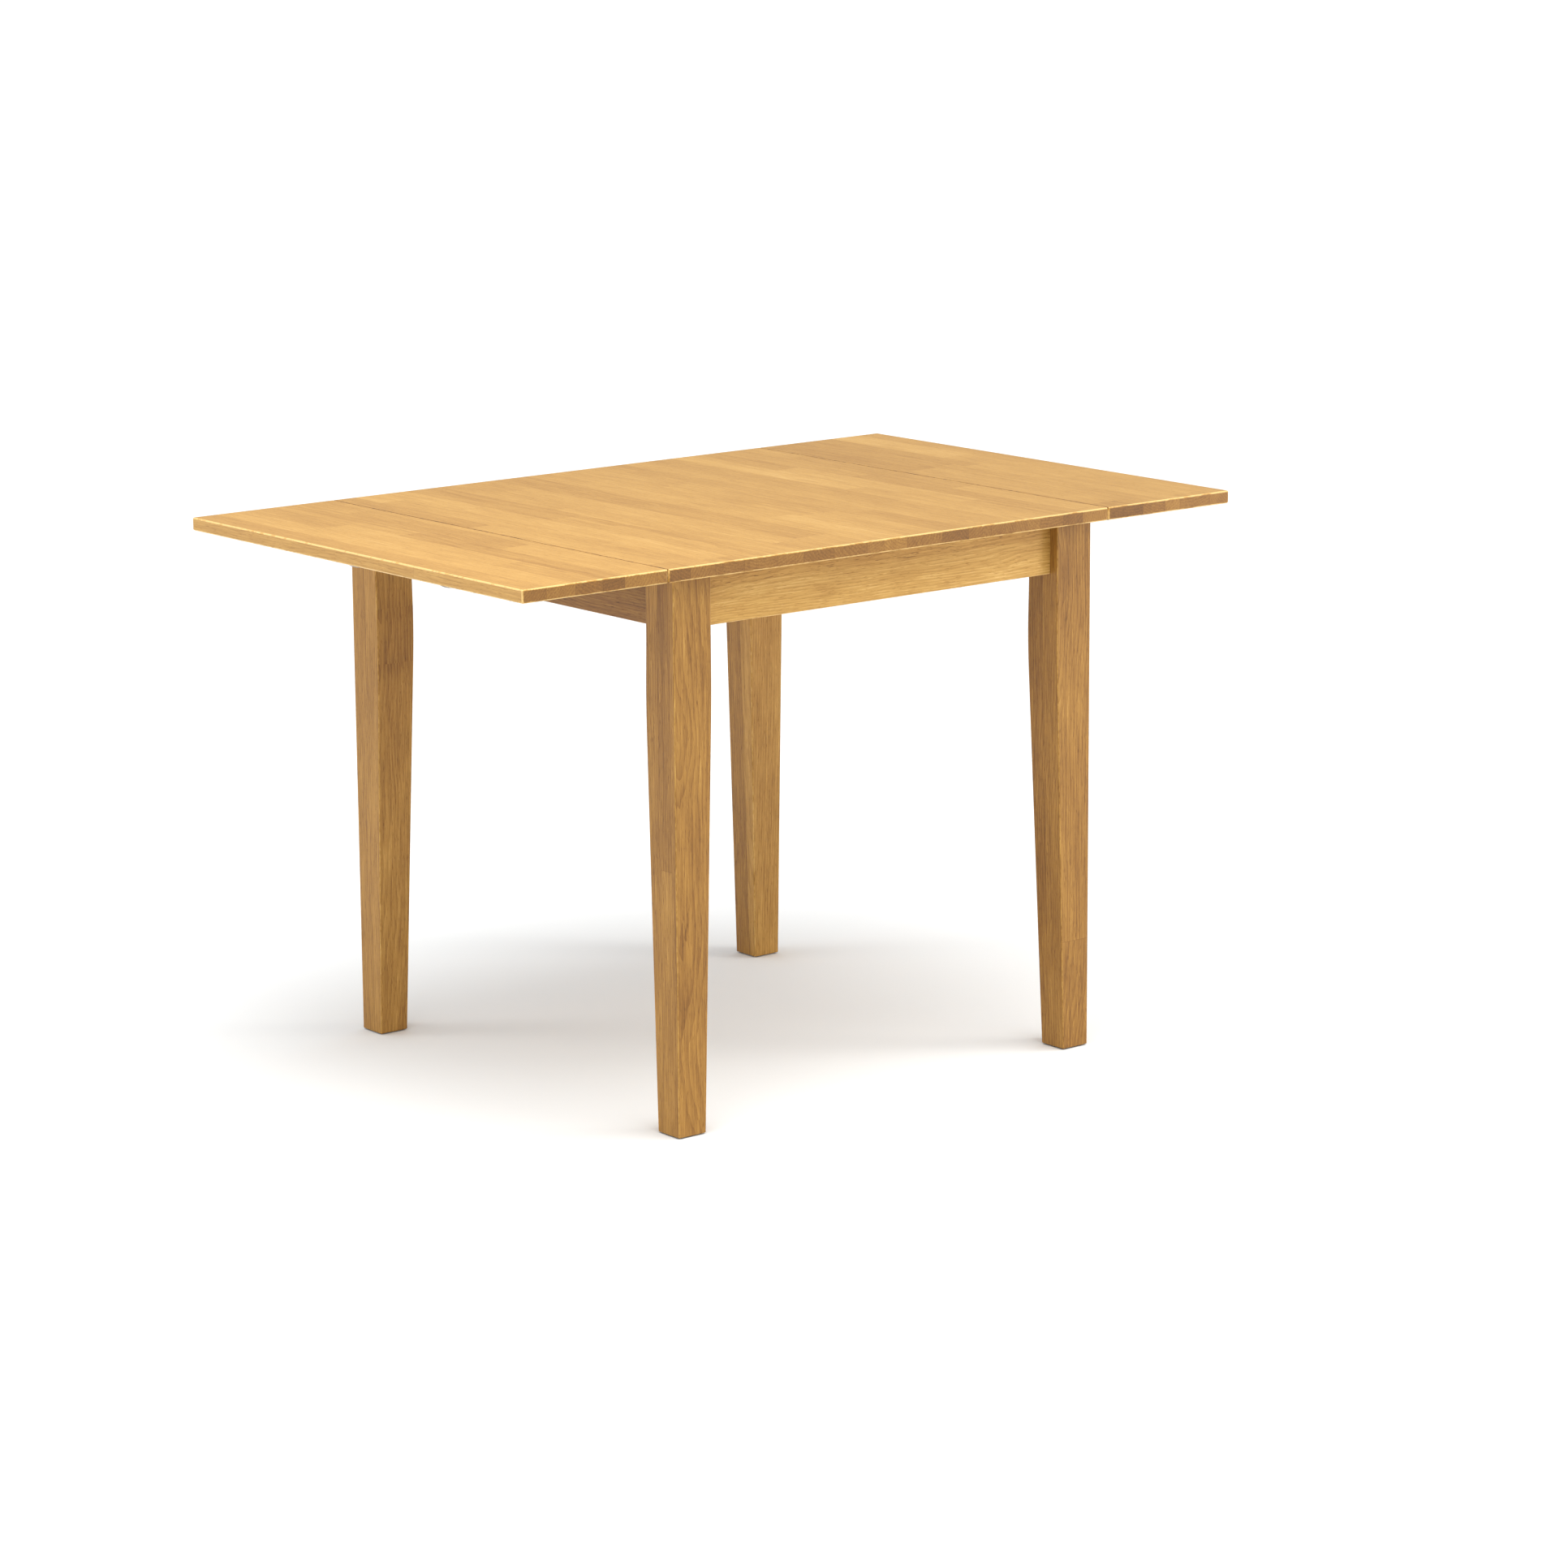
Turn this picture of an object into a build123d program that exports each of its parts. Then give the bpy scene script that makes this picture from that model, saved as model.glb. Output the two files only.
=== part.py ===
from build123d import *
from math import acos, asin, cos, degrees, radians, sin, sqrt
import os

# Drop leaf dinette table: a square centre top on four tapered legs, with a
# narrow leaf hinged at each end. Millimetres. The origin is on the floor under
# the middle of the top, +Z is up, +X runs along the length with both leaves up,
# and -Y is the front. Left is -X and right is +X.

# ---------------------------------------------------------------- dimensions
TABLE_LENGTH = 1220.0
TABLE_WIDTH = 760.0
TABLE_HEIGHT = 760.0
TOP_THICKNESS = 18.0
CENTRE_LENGTH = 760.0
LEAF_GAP = 1.0
RIM_ROUND = 2.5
SEAM_ROUND = 0.8
CORNER_ROUND = 3.0

LEG_OUTER_X = 362.0
LEG_OUTER_Y = 365.0
LEG_WIDTHS_X = (61.5, 61.4, 60.0)
LEG_WIDTHS_Y = (58.5, 60.1, 59.5)
LEG_FOOT = 45.0
KNEE_DROP = 150.0
TAPER_DROP = 215.0
LEG_ARRIS = 1.6
FOOT_CHAMFER = 1.0
GLIDE_RADIUS = 11.0
GLIDE_THICKNESS = 3.5
GLIDE_PROUD = 1.5
GLIDE_CHAMFER = 0.8

APRON_HEIGHT = 69.0
APRON_THICKNESS = 20.0
APRON_RECESS = 15.0
APRON_EDGE = 1.0
DOWEL_RADIUS = 4.0
DOWEL_LENGTH = 30.0
DOWEL_DROPS = (20.0, 49.0)

BLOCK_GAP = 4.0
BLOCK_THICKNESS = 26.0
BLOCK_HEIGHT = 52.0
BLOCK_BOLT_DROPS = (16.0, 38.0)
BLOCK_SCREW_DROPS = (14.0, 38.0)
BLOCK_SCREW_LENGTH = 29.0
BLOCK_SCREW_SEAT = 14.0
TOP_SCREW_LENGTH = 42.0
TOP_SCREW_BITE = 12.0
TOP_SCREW_INSET = 30.0
BOLT_RADIUS = 4.0
BOLT_HOLE_RADIUS = 4.5
BOLT_IN_LEG = 30.0
BOLT_END = 44.0
WASHER_RADIUS = 10.0
WASHER_THICKNESS = 1.6
NUT_FLAT_RADIUS = 6.5
NUT_THICKNESS = 6.5

CLIP_WIDTH = 20.0
CLIP_SLOT_DROP = 12.0
CLIP_TAB = 7.0
CLIP_STANDOFF = 6.0
CLIP_FLANGE = 20.0
CLIP_SCREW_REACH = 12.0
CLIP_STEEL = 1.6

HINGE_WIDTH = 60.0
HINGE_Y = (-265.0, 0.0, 265.0)
HINGE_DROP = 3.5
KNUCKLE_RADIUS = 3.2
KNUCKLE_COUNT = 5
KNUCKLE_GAP = 0.3
PIN_RADIUS = 1.5
PIN_CLEARANCE = 0.05
PIN_HEAD_FLARE = 0.7
PIN_HEAD_THICKNESS = 1.0
PLATE_THICKNESS = 1.6
PLATE_CORNER = 1.5
PLATE_GAP = 0.4
FIXED_PLATE_REACH = 28.0
LEAF_PLATE_REACH = 44.0
FIXED_SCREW_INSET = 17.0
LEAF_SCREW_INSETS = (15.0, 35.0)
HINGE_SCREW_SPREAD = 20.0

STAY_Y = (-105.0, 105.0)
STAY_PIVOT_X = 360.0
STAY_PIVOT_DROP = 37.0
STAY_LENGTH = 128.0
STAY_SLOT_DROP = 10.0
STAY_WIDTH = 14.0
STAY_THICKNESS = 3.0
STAY_PLATE_WIDTH = 40.0
STAY_PLATE_HEIGHT = 34.0
STAY_PLATE_CORNER = 4.0
STAY_PLATE_SCREWS = [(-14, -11), (-14, 11), (14, -11), (14, 11)]
EAR_RADIUS = 9.0
EAR_ROOT = 24.0
TRACK_STEEL = 2.0
TRACK_FOOT = 16.0
TRACK_MARGIN = 11.0
TRACK_CORNER = 4.0
TRACK_SCREW_REACH = 9.6
TRACK_SCREW_MARGIN = 4.0
LEAF_FOLD_ANGLE = 90.0
STEEL = 2.5
SIDE_GAP = 0.3
PIVOT_RADIUS = 3.0
STUD_RADIUS = 2.5
STUD_HEAD_RADIUS = 4.5
STUD_HEAD_THICKNESS = 1.8
STUD_HEAD_ROUND = 0.8
PIVOT_HEAD_THICKNESS = 1.5
SLOT_CLEARANCE = 0.3
SLOT_WALL = 3.2

SCREW_SHANK = 1.75
SCREW_HEAD = 3.3
SHORT_SCREW = 14.0
SCREW_POINT = 2.0
SCREW_POINT_CHAMFER = 1.2
PAN_HEAD_RADIUS = 4.0
PAN_HEAD_HEIGHT = 2.6
PAN_HEAD_ROUND = 0.9
DRIVER_RADIUS = 5.0

# ------------------------------------------------------------- worked-out sizes
UNDERSIDE = TABLE_HEIGHT - TOP_THICKNESS
LEAF_START = CENTRE_LENGTH / 2 + LEAF_GAP
LEAF_LENGTH = TABLE_LENGTH / 2 - LEAF_START
APRON_BOTTOM = UNDERSIDE - APRON_HEIGHT
APRON_FACE_X = LEG_OUTER_X - APRON_RECESS
APRON_FACE_Y = LEG_OUTER_Y - APRON_RECESS
APRON_BACK_X = APRON_FACE_X - APRON_THICKNESS
APRON_BACK_Y = APRON_FACE_Y - APRON_THICKNESS
LEG_INNER_X = LEG_OUTER_X - LEG_WIDTHS_X[0]
LEG_INNER_Y = LEG_OUTER_Y - LEG_WIDTHS_Y[0]
HINGE_X = CENTRE_LENGTH / 2 + LEAF_GAP / 2
HINGE_Z = UNDERSIDE - HINGE_DROP
STAY_PIVOT_Z = UNDERSIDE - STAY_PIVOT_DROP

SIDES = {"left": -1, "right": 1}
ENDS = {"front": -1, "back": 1}
os.makedirs("parts", exist_ok=True)


# A turned piece stands on the origin, or hangs below it as a screw's head does.
SHANK_UP = (Align.CENTER, Align.CENTER, Align.MIN)
HEAD_UP = (Align.CENTER, Align.CENTER, Align.MAX)

# ------------------------------------------------------------------ fasteners
with BuildPart() as countersunk_screw:
    # The head's flat face is at the origin and the point runs up +Z.
    with BuildSketch(Plane.XZ):
        with BuildLine():
            Polyline(
                (0, 0),
                (SCREW_HEAD, 0),
                (SCREW_SHANK, SCREW_HEAD - SCREW_SHANK),
                (SCREW_SHANK, SHORT_SCREW - SCREW_POINT),
                (0, SHORT_SCREW),
                close=True,
            )
        make_face()
    revolve(axis=Axis.Z)


def pan_screw(length):
    """A wood screw whose head sits below the origin, with its shank up +Z."""
    with BuildPart() as screw:
        Cylinder(PAN_HEAD_RADIUS, PAN_HEAD_HEIGHT, align=HEAD_UP)
        Cylinder(SCREW_SHANK, length, align=SHANK_UP)
        fillet(screw.edges().group_by(Axis.Z)[0], PAN_HEAD_ROUND)
        chamfer(screw.edges().group_by(Axis.Z)[-1], SCREW_POINT_CHAMFER)
    return screw.part


# Every corner joint is set out once, so that wood and fastener always agree.
def corner_bolt_planes(side_x, side_y):
    """Hanger bolt axes of one corner, at the leg's inner arris, pointing inwards."""
    inwards = (-side_x, -side_y, 0)
    corner = (side_x * LEG_INNER_X, side_y * LEG_INNER_Y)
    return [Plane((*corner, UNDERSIDE - drop), z_dir=inwards) for drop in BLOCK_BOLT_DROPS]


def corner_dowel_planes(side_x, side_y):
    """Dowel axes of one leg: two into each of its two aprons."""
    long_y = side_y * (APRON_FACE_Y - APRON_THICKNESS / 2)
    end_x = side_x * (APRON_FACE_X - APRON_THICKNESS / 2)
    planes = []
    for drop in DOWEL_DROPS:
        height = UNDERSIDE - drop
        planes.append(Plane((side_x * LEG_INNER_X, long_y, height), z_dir=(side_x, 0, 0)))
        planes.append(Plane((end_x, side_y * LEG_INNER_Y, height), z_dir=(0, side_y, 0)))
    return planes


# The corner block is a strip across the corner, square to the leg's diagonal.
# Each of its long faces is where |x| + |y| has one value, here called its sum.
LEG_DIAGONAL = LEG_INNER_X + LEG_INNER_Y
BLOCK_OUTER_SUM = LEG_DIAGONAL - BLOCK_GAP * sqrt(2)
BLOCK_INNER_SUM = BLOCK_OUTER_SUM - BLOCK_THICKNESS * sqrt(2)
BLOCK_END_X = (BLOCK_OUTER_SUM + BLOCK_INNER_SUM) / 2 - APRON_BACK_Y
BLOCK_END_Y = (BLOCK_OUTER_SUM + BLOCK_INNER_SUM) / 2 - APRON_BACK_X


def block_screw_planes(side_x, side_y):
    """Screws that hold one corner block to its two aprons."""
    planes = []
    for drop in BLOCK_SCREW_DROPS:
        height = UNDERSIDE - drop
        long_seat = (side_x * BLOCK_END_X, side_y * (APRON_BACK_Y - BLOCK_SCREW_SEAT), height)
        end_seat = (side_x * (APRON_BACK_X - BLOCK_SCREW_SEAT), side_y * BLOCK_END_Y, height)
        planes.append(Plane(long_seat, z_dir=(0, side_y, 0)))
        planes.append(Plane(end_seat, z_dir=(side_x, 0, 0)))
    return planes


def top_screw_plane(side_x, side_y):
    """The screw that goes up through one corner block into the centre panel."""
    middle_sum = (BLOCK_OUTER_SUM + BLOCK_INNER_SUM) / 2
    offset = LEG_INNER_Y - LEG_INNER_X + TOP_SCREW_INSET
    x = side_x * (middle_sum - offset) / 2
    y = side_y * (middle_sum + offset) / 2
    return Plane((x, y, UNDERSIDE + TOP_SCREW_BITE - TOP_SCREW_LENGTH))


CORNERS = [(side_x, side_y) for side_x in SIDES.values() for side_y in ENDS.values()]
BOLT_PLANES = [plane for corner in CORNERS for plane in corner_bolt_planes(*corner)]
DOWEL_PLANES = [plane for corner in CORNERS for plane in corner_dowel_planes(*corner)]
BLOCK_SCREW_PLANES = [plane for corner in CORNERS for plane in block_screw_planes(*corner)]
TOP_SCREW_PLANES = [top_screw_plane(*corner) for corner in CORNERS]

# Steel clips hold the middle of each apron to the panel and let the wood move.
CLIP_POINTS = [
    (APRON_BACK_X, 0, 180),
    (-APRON_BACK_X, 0, 0),
    (0, APRON_BACK_Y, -90),
    (0, -APRON_BACK_Y, 90),
]
CLIP_PLACES = [Location((x, y, UNDERSIDE), (0, 0, turn)) for x, y, turn in CLIP_POINTS]
CLIP_SCREW = Location((CLIP_STANDOFF + CLIP_SCREW_REACH, 0, -CLIP_STEEL))
CLIP_SCREW_PLACES = [place * CLIP_SCREW for place in CLIP_PLACES]

# Screws of the hinges: two in each fixed plate and four in each leaf plate.
PLATE_BOTTOM = UNDERSIDE - PLATE_THICKNESS
HINGE_SCREW_Y = [y + along for y in HINGE_Y for along in (-HINGE_SCREW_SPREAD, HINGE_SCREW_SPREAD)]


def fixed_hinge_screws(side_x):
    """Screws of the fixed plates at one side."""
    x = side_x * (HINGE_X - FIXED_SCREW_INSET)
    return [(x, y, PLATE_BOTTOM) for y in HINGE_SCREW_Y]


def leaf_hinge_screws(side_x):
    """Screws of the leaf plates at one side."""
    places_x = [side_x * (HINGE_X + inset) for inset in LEAF_SCREW_INSETS]
    return [(x, y, PLATE_BOTTOM) for x in places_x for y in HINGE_SCREW_Y]


# ------------------------------------------------------------ stay linkage
# A flat steel arm swings on the end apron. Its stud runs in a curved slot on
# the leaf, so arm and leaf turn together. Distances are from the hinge pin.
PIVOT_INSET = HINGE_X - STAY_PIVOT_X
PIVOT_FALL = HINGE_Z - STAY_PIVOT_Z
SLOT_FALL = STAY_SLOT_DROP - HINGE_DROP
ARM_UP_ANGLE = degrees(asin((PIVOT_FALL - SLOT_FALL) / STAY_LENGTH))
ARM_DOWN_ANGLE = degrees(acos((PIVOT_INSET - SLOT_FALL) / STAY_LENGTH))
ARM_RATIO = (ARM_UP_ANGLE + ARM_DOWN_ANGLE) / LEAF_FOLD_ANGLE
SLOT_STEPS = 4


def stud_on_leaf(fold):
    """Where the stud is in the leaf's own frame at this fold, as (x, z) with the leaf up."""
    arm = radians(ARM_UP_ANGLE - ARM_RATIO * fold)
    leaf = radians(fold)
    out = STAY_LENGTH * cos(arm) - PIVOT_INSET
    up = STAY_LENGTH * sin(arm) - PIVOT_FALL
    along = out * cos(leaf) - up * sin(leaf)
    below = -out * sin(leaf) - up * cos(leaf)
    return (HINGE_X + along, HINGE_Z - below)


SLOT_POINTS = [stud_on_leaf(LEAF_FOLD_ANGLE * step / SLOT_STEPS) for step in range(SLOT_STEPS + 1)]
SLOT_START_X = SLOT_POINTS[0][0]
SLOT_END_X = SLOT_POINTS[-1][0]
SLOT_RADIUS = STUD_RADIUS + SLOT_CLEARANCE
SLOT_MIDDLE_X = (SLOT_START_X + SLOT_END_X) / 2
TRACK_LENGTH = SLOT_END_X - SLOT_START_X + 2 * TRACK_MARGIN
TRACK_SCREW_X = [SLOT_START_X - TRACK_SCREW_MARGIN, SLOT_MIDDLE_X, SLOT_END_X + TRACK_SCREW_MARGIN]

# Across the table the stay's layers are: ear, arm, track, stud head.
ARM_LAYER = STEEL + SIDE_GAP
TRACK_LAYER = ARM_LAYER + STAY_THICKNESS + SIDE_GAP
STUD_HEAD_LAYER = TRACK_LAYER + TRACK_STEEL + SIDE_GAP


def track_screws(side_x):
    """Screws through the feet of the tracks at one side."""
    across = TRACK_LAYER + TRACK_SCREW_REACH
    return [(side_x * x, y + across, UNDERSIDE - TRACK_STEEL) for y in STAY_Y for x in TRACK_SCREW_X]


def stay_plate_screw_planes(side_x):
    """Screws through the apron plates, driven inwards from the plate's face."""
    face = side_x * (APRON_FACE_X + STEEL)
    planes = []
    for y in STAY_Y:
        for across, up in STAY_PLATE_SCREWS:
            point = (face, y + STEEL / 2 + across, STAY_PIVOT_Z + up)
            planes.append(Plane(point, z_dir=(-side_x, 0, 0)))
    return planes


STAY_PLATE_SCREW_PLANES = stay_plate_screw_planes(-1) + stay_plate_screw_planes(1)


# ------------------------------------------------------------------------ top
SAME_PLACE = 0.1


def lies_at(edge, places_x):
    """True if the edge's middle is at one of these X places."""
    return any(abs(edge.center().X - x) < SAME_PLACE for x in places_x)


def round_panel(panel, outer_faces, seam_faces):
    """Ease a panel: soft corners and rims outside, crisp edges at a seam."""
    corners = [edge for edge in panel.edges().filter_by(Axis.Z) if lies_at(edge, outer_faces)]
    if corners:
        fillet(corners, CORNER_ROUND)
    flat_edges = panel.faces().filter_by(Axis.Z).edges()
    fillet([edge for edge in flat_edges if lies_at(edge, seam_faces)], SEAM_ROUND)
    flat_edges = panel.faces().filter_by(Axis.Z).edges()
    eased = [x - SEAM_ROUND for x in seam_faces] + [x + SEAM_ROUND for x in seam_faces]
    fillet([edge for edge in flat_edges if not lies_at(edge, eased)], RIM_ROUND)


with BuildPart() as centre_panel:
    with BuildSketch(Plane.XY.offset(UNDERSIDE)):
        Rectangle(CENTRE_LENGTH, TABLE_WIDTH)
    extrude(amount=TOP_THICKNESS)
    round_panel(centre_panel, (), (-CENTRE_LENGTH / 2, CENTRE_LENGTH / 2))
    with Locations(*TOP_SCREW_PLANES):
        add(pan_screw(TOP_SCREW_LENGTH), mode=Mode.SUBTRACT)
    with Locations(*CLIP_SCREW_PLACES, *fixed_hinge_screws(-1), *fixed_hinge_screws(1)):
        add(countersunk_screw.part, mode=Mode.SUBTRACT)
centre_panel.part.label = "centre_panel"
export_step(centre_panel.part, "parts/centre_panel.step")

for side, sx in SIDES.items():
    with BuildPart() as leaf:
        with BuildSketch(Plane.XY.offset(UNDERSIDE)):
            with Locations((sx * (LEAF_START + LEAF_LENGTH / 2), 0)):
                Rectangle(LEAF_LENGTH, TABLE_WIDTH)
        extrude(amount=TOP_THICKNESS)
        round_panel(leaf, (sx * TABLE_LENGTH / 2,), (sx * LEAF_START,))
        with Locations(*leaf_hinge_screws(sx), *track_screws(sx)):
            add(countersunk_screw.part, mode=Mode.SUBTRACT)
    leaf.part.label = f"{side}_leaf"
    export_step(leaf.part, f"parts/{side}_leaf.step")

# ---------------------------------------------------------------- under-frame
LONG_APRON_LENGTH = 2 * LEG_INNER_X
END_APRON_LENGTH = 2 * LEG_INNER_Y
APRON_SHAPES = {
    "front": ((0, -(APRON_FACE_Y - APRON_THICKNESS / 2)), LONG_APRON_LENGTH, APRON_THICKNESS),
    "back": ((0, APRON_FACE_Y - APRON_THICKNESS / 2), LONG_APRON_LENGTH, APRON_THICKNESS),
    "left": ((-(APRON_FACE_X - APRON_THICKNESS / 2), 0), APRON_THICKNESS, END_APRON_LENGTH),
    "right": ((APRON_FACE_X - APRON_THICKNESS / 2, 0), APRON_THICKNESS, END_APRON_LENGTH),
}

with BuildPart() as clip:
    # One clip at the origin under the top, reaching back into its apron on -X.
    with BuildSketch(Plane.XZ):
        with BuildLine():
            Polyline(
                (-CLIP_TAB, -CLIP_SLOT_DROP),
                (CLIP_STANDOFF, -CLIP_SLOT_DROP),
                (CLIP_STANDOFF, 0),
                (CLIP_STANDOFF + CLIP_FLANGE, 0),
                (CLIP_STANDOFF + CLIP_FLANGE, -CLIP_STEEL),
                (CLIP_STANDOFF + CLIP_STEEL, -CLIP_STEEL),
                (CLIP_STANDOFF + CLIP_STEEL, -CLIP_SLOT_DROP - CLIP_STEEL),
                (-CLIP_TAB, -CLIP_SLOT_DROP - CLIP_STEEL),
                close=True,
            )
        make_face()
    extrude(amount=CLIP_WIDTH / 2, both=True)
    with Locations(CLIP_SCREW):
        add(countersunk_screw.part, mode=Mode.SUBTRACT)

for name, (centre, length_x, length_y) in APRON_SHAPES.items():
    with BuildPart() as apron:
        with BuildSketch(Plane.XY.offset(APRON_BOTTOM)):
            with Locations(centre):
                Rectangle(length_x, length_y)
        extrude(amount=APRON_HEIGHT)
        along = Axis.X if length_x > length_y else Axis.Y
        chamfer(apron.edges().filter_by(along).group_by(Axis.Z)[0], APRON_EDGE)
        with Locations(*DOWEL_PLANES):
            Cylinder(DOWEL_RADIUS, DOWEL_LENGTH, mode=Mode.SUBTRACT)
        with Locations(*BLOCK_SCREW_PLANES):
            add(pan_screw(BLOCK_SCREW_LENGTH), mode=Mode.SUBTRACT)
        with Locations(*CLIP_PLACES):
            add(clip.part, mode=Mode.SUBTRACT)
        with Locations(*STAY_PLATE_SCREW_PLANES):
            add(countersunk_screw.part, mode=Mode.SUBTRACT)
    apron.part.label = f"{name}_apron"
    export_step(apron.part, f"parts/{name}_apron.step")


def leg_side(plane, outer, widths, side):
    """One view of a leg: straight outside, and inside a post, a soft knee and a taper."""
    post_width, knee_width, taper_width = widths
    taper_run = TAPER_DROP - UNDERSIDE + GLIDE_PROUD
    taper = (side * (taper_width - LEG_FOOT), taper_run)
    with BuildSketch(plane) as view:
        with BuildLine():
            post_end = (side * (outer - post_width), APRON_BOTTOM)
            knee = (side * (outer - knee_width), UNDERSIDE - KNEE_DROP)
            taper_top = (side * (outer - taper_width), UNDERSIDE - TAPER_DROP)
            Spline(post_end, knee, taper_top, tangents=((0, -1), taper))
            Polyline(
                taper_top,
                (side * (outer - LEG_FOOT), GLIDE_PROUD),
                (side * outer, GLIDE_PROUD),
                (side * outer, UNDERSIDE),
                (side * (outer - post_width), UNDERSIDE),
                post_end,
            )
        make_face()
    return view.sketch


for end, sy in ENDS.items():
    for side, sx in SIDES.items():
        corner = (sx * LEG_OUTER_X, sy * LEG_OUTER_Y)
        foot_centre = (corner[0] - sx * LEG_FOOT / 2, corner[1] - sy * LEG_FOOT / 2)
        with BuildPart() as leg:
            extrude(leg_side(Plane.XZ, LEG_OUTER_X, LEG_WIDTHS_X, sx), amount=TABLE_WIDTH, both=True)
            end_view = leg_side(Plane.YZ, LEG_OUTER_Y, LEG_WIDTHS_Y, sy)
            extrude(end_view, amount=TABLE_LENGTH, both=True, mode=Mode.INTERSECT)
            fillet([edge for edge in leg.edges() if abs(edge.tangent_at(0.5).Z) > 0.9], LEG_ARRIS)
            chamfer(leg.edges().group_by(Axis.Z)[0], FOOT_CHAMFER)
            with BuildSketch(Plane.XY.offset(GLIDE_PROUD)):
                with Locations(foot_centre):
                    Circle(GLIDE_RADIUS)
            extrude(amount=GLIDE_THICKNESS - GLIDE_PROUD, mode=Mode.SUBTRACT)
            with Locations(*corner_dowel_planes(sx, sy)):
                Cylinder(DOWEL_RADIUS, DOWEL_LENGTH, mode=Mode.SUBTRACT)
            with Locations(*corner_bolt_planes(sx, sy)):
                Cylinder(BOLT_RADIUS, 2 * BOLT_IN_LEG, mode=Mode.SUBTRACT)
        leg.part.label = f"{end}_{side}_leg"
        export_step(leg.part, f"parts/{end}_{side}_leg.step")

        with BuildPart() as block:
            with BuildSketch(Plane.XY.offset(UNDERSIDE - BLOCK_HEIGHT)):
                with BuildLine():
                    Polyline(
                        (sx * APRON_BACK_X, sy * (BLOCK_OUTER_SUM - APRON_BACK_X)),
                        (sx * (BLOCK_OUTER_SUM - APRON_BACK_Y), sy * APRON_BACK_Y),
                        (sx * (BLOCK_INNER_SUM - APRON_BACK_Y), sy * APRON_BACK_Y),
                        (sx * APRON_BACK_X, sy * (BLOCK_INNER_SUM - APRON_BACK_X)),
                        close=True,
                    )
                make_face()
            extrude(amount=BLOCK_HEIGHT)
            with Locations(*corner_bolt_planes(sx, sy)):
                Cylinder(BOLT_HOLE_RADIUS, 2 * BOLT_END, mode=Mode.SUBTRACT)
            with Locations(*block_screw_planes(sx, sy)):
                add(pan_screw(BLOCK_SCREW_LENGTH), mode=Mode.SUBTRACT)
                Cylinder(DRIVER_RADIUS, BLOCK_THICKNESS, align=HEAD_UP, mode=Mode.SUBTRACT)
            with Locations(top_screw_plane(sx, sy)):
                add(pan_screw(TOP_SCREW_LENGTH), mode=Mode.SUBTRACT)
                Cylinder(DRIVER_RADIUS, BLOCK_HEIGHT, align=HEAD_UP, mode=Mode.SUBTRACT)
        block.part.label = f"{end}_{side}_corner_block"
        export_step(block.part, f"parts/{end}_{side}_corner_block.step")

with BuildPart() as leg_glides:
    with BuildSketch(Plane.XY):
        for sx, sy in CORNERS:
            with Locations((sx * (LEG_OUTER_X - LEG_FOOT / 2), sy * (LEG_OUTER_Y - LEG_FOOT / 2))):
                Circle(GLIDE_RADIUS)
    extrude(amount=GLIDE_THICKNESS)
    chamfer(leg_glides.edges().group_by(Axis.Z)[0], GLIDE_CHAMFER)
leg_glides.part.label = "leg_glides"
export_step(leg_glides.part, "parts/leg_glides.step")

with BuildPart() as apron_dowels:
    with Locations(*DOWEL_PLANES):
        Cylinder(DOWEL_RADIUS, DOWEL_LENGTH)
apron_dowels.part.label = "apron_dowels"
export_step(apron_dowels.part, "parts/apron_dowels.step")

with BuildPart() as hanger_bolts:
    with Locations(*BOLT_PLANES):
        with Locations((0, 0, (BOLT_END - BOLT_IN_LEG) / 2)):
            Cylinder(BOLT_RADIUS, BOLT_END + BOLT_IN_LEG)
hanger_bolts.part.label = "hanger_bolts"
export_step(hanger_bolts.part, "parts/hanger_bolts.step")

WASHER_FACE = BLOCK_GAP + BLOCK_THICKNESS
with BuildPart() as hanger_washers:
    with Locations(*BOLT_PLANES):
        with Locations((0, 0, WASHER_FACE + WASHER_THICKNESS / 2)):
            Cylinder(WASHER_RADIUS, WASHER_THICKNESS)
            Cylinder(BOLT_HOLE_RADIUS, WASHER_THICKNESS, mode=Mode.SUBTRACT)
hanger_washers.part.label = "hanger_washers"
export_step(hanger_washers.part, "parts/hanger_washers.step")

NUT_FACE = WASHER_FACE + WASHER_THICKNESS
with BuildPart() as hex_nut:
    with BuildSketch(Plane.XY.offset(NUT_FACE)):
        RegularPolygon(NUT_FLAT_RADIUS, 6, major_radius=False)
        Circle(BOLT_RADIUS, mode=Mode.SUBTRACT)
    extrude(amount=NUT_THICKNESS)
with BuildPart() as hanger_nuts:
    with Locations(*BOLT_PLANES):
        add(hex_nut.part)
hanger_nuts.part.label = "hanger_nuts"
export_step(hanger_nuts.part, "parts/hanger_nuts.step")

with BuildPart() as corner_block_screws:
    with Locations(*BLOCK_SCREW_PLANES):
        add(pan_screw(BLOCK_SCREW_LENGTH))
corner_block_screws.part.label = "corner_block_screws"
export_step(corner_block_screws.part, "parts/corner_block_screws.step")

with BuildPart() as top_screws:
    with Locations(*TOP_SCREW_PLANES):
        add(pan_screw(TOP_SCREW_LENGTH))
    with Locations(*CLIP_SCREW_PLACES):
        add(countersunk_screw.part)
top_screws.part.label = "top_screws"
export_step(top_screws.part, "parts/top_screws.step")

with BuildPart() as top_clips:
    with Locations(*CLIP_PLACES):
        add(clip.part)
top_clips.part.label = "top_clips"
export_step(top_clips.part, "parts/top_clips.step")

# --------------------------------------------------------------------- hinges
KNUCKLE_PITCH = HINGE_WIDTH / KNUCKLE_COUNT
PLATE_START = KNUCKLE_RADIUS + PLATE_GAP


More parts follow.
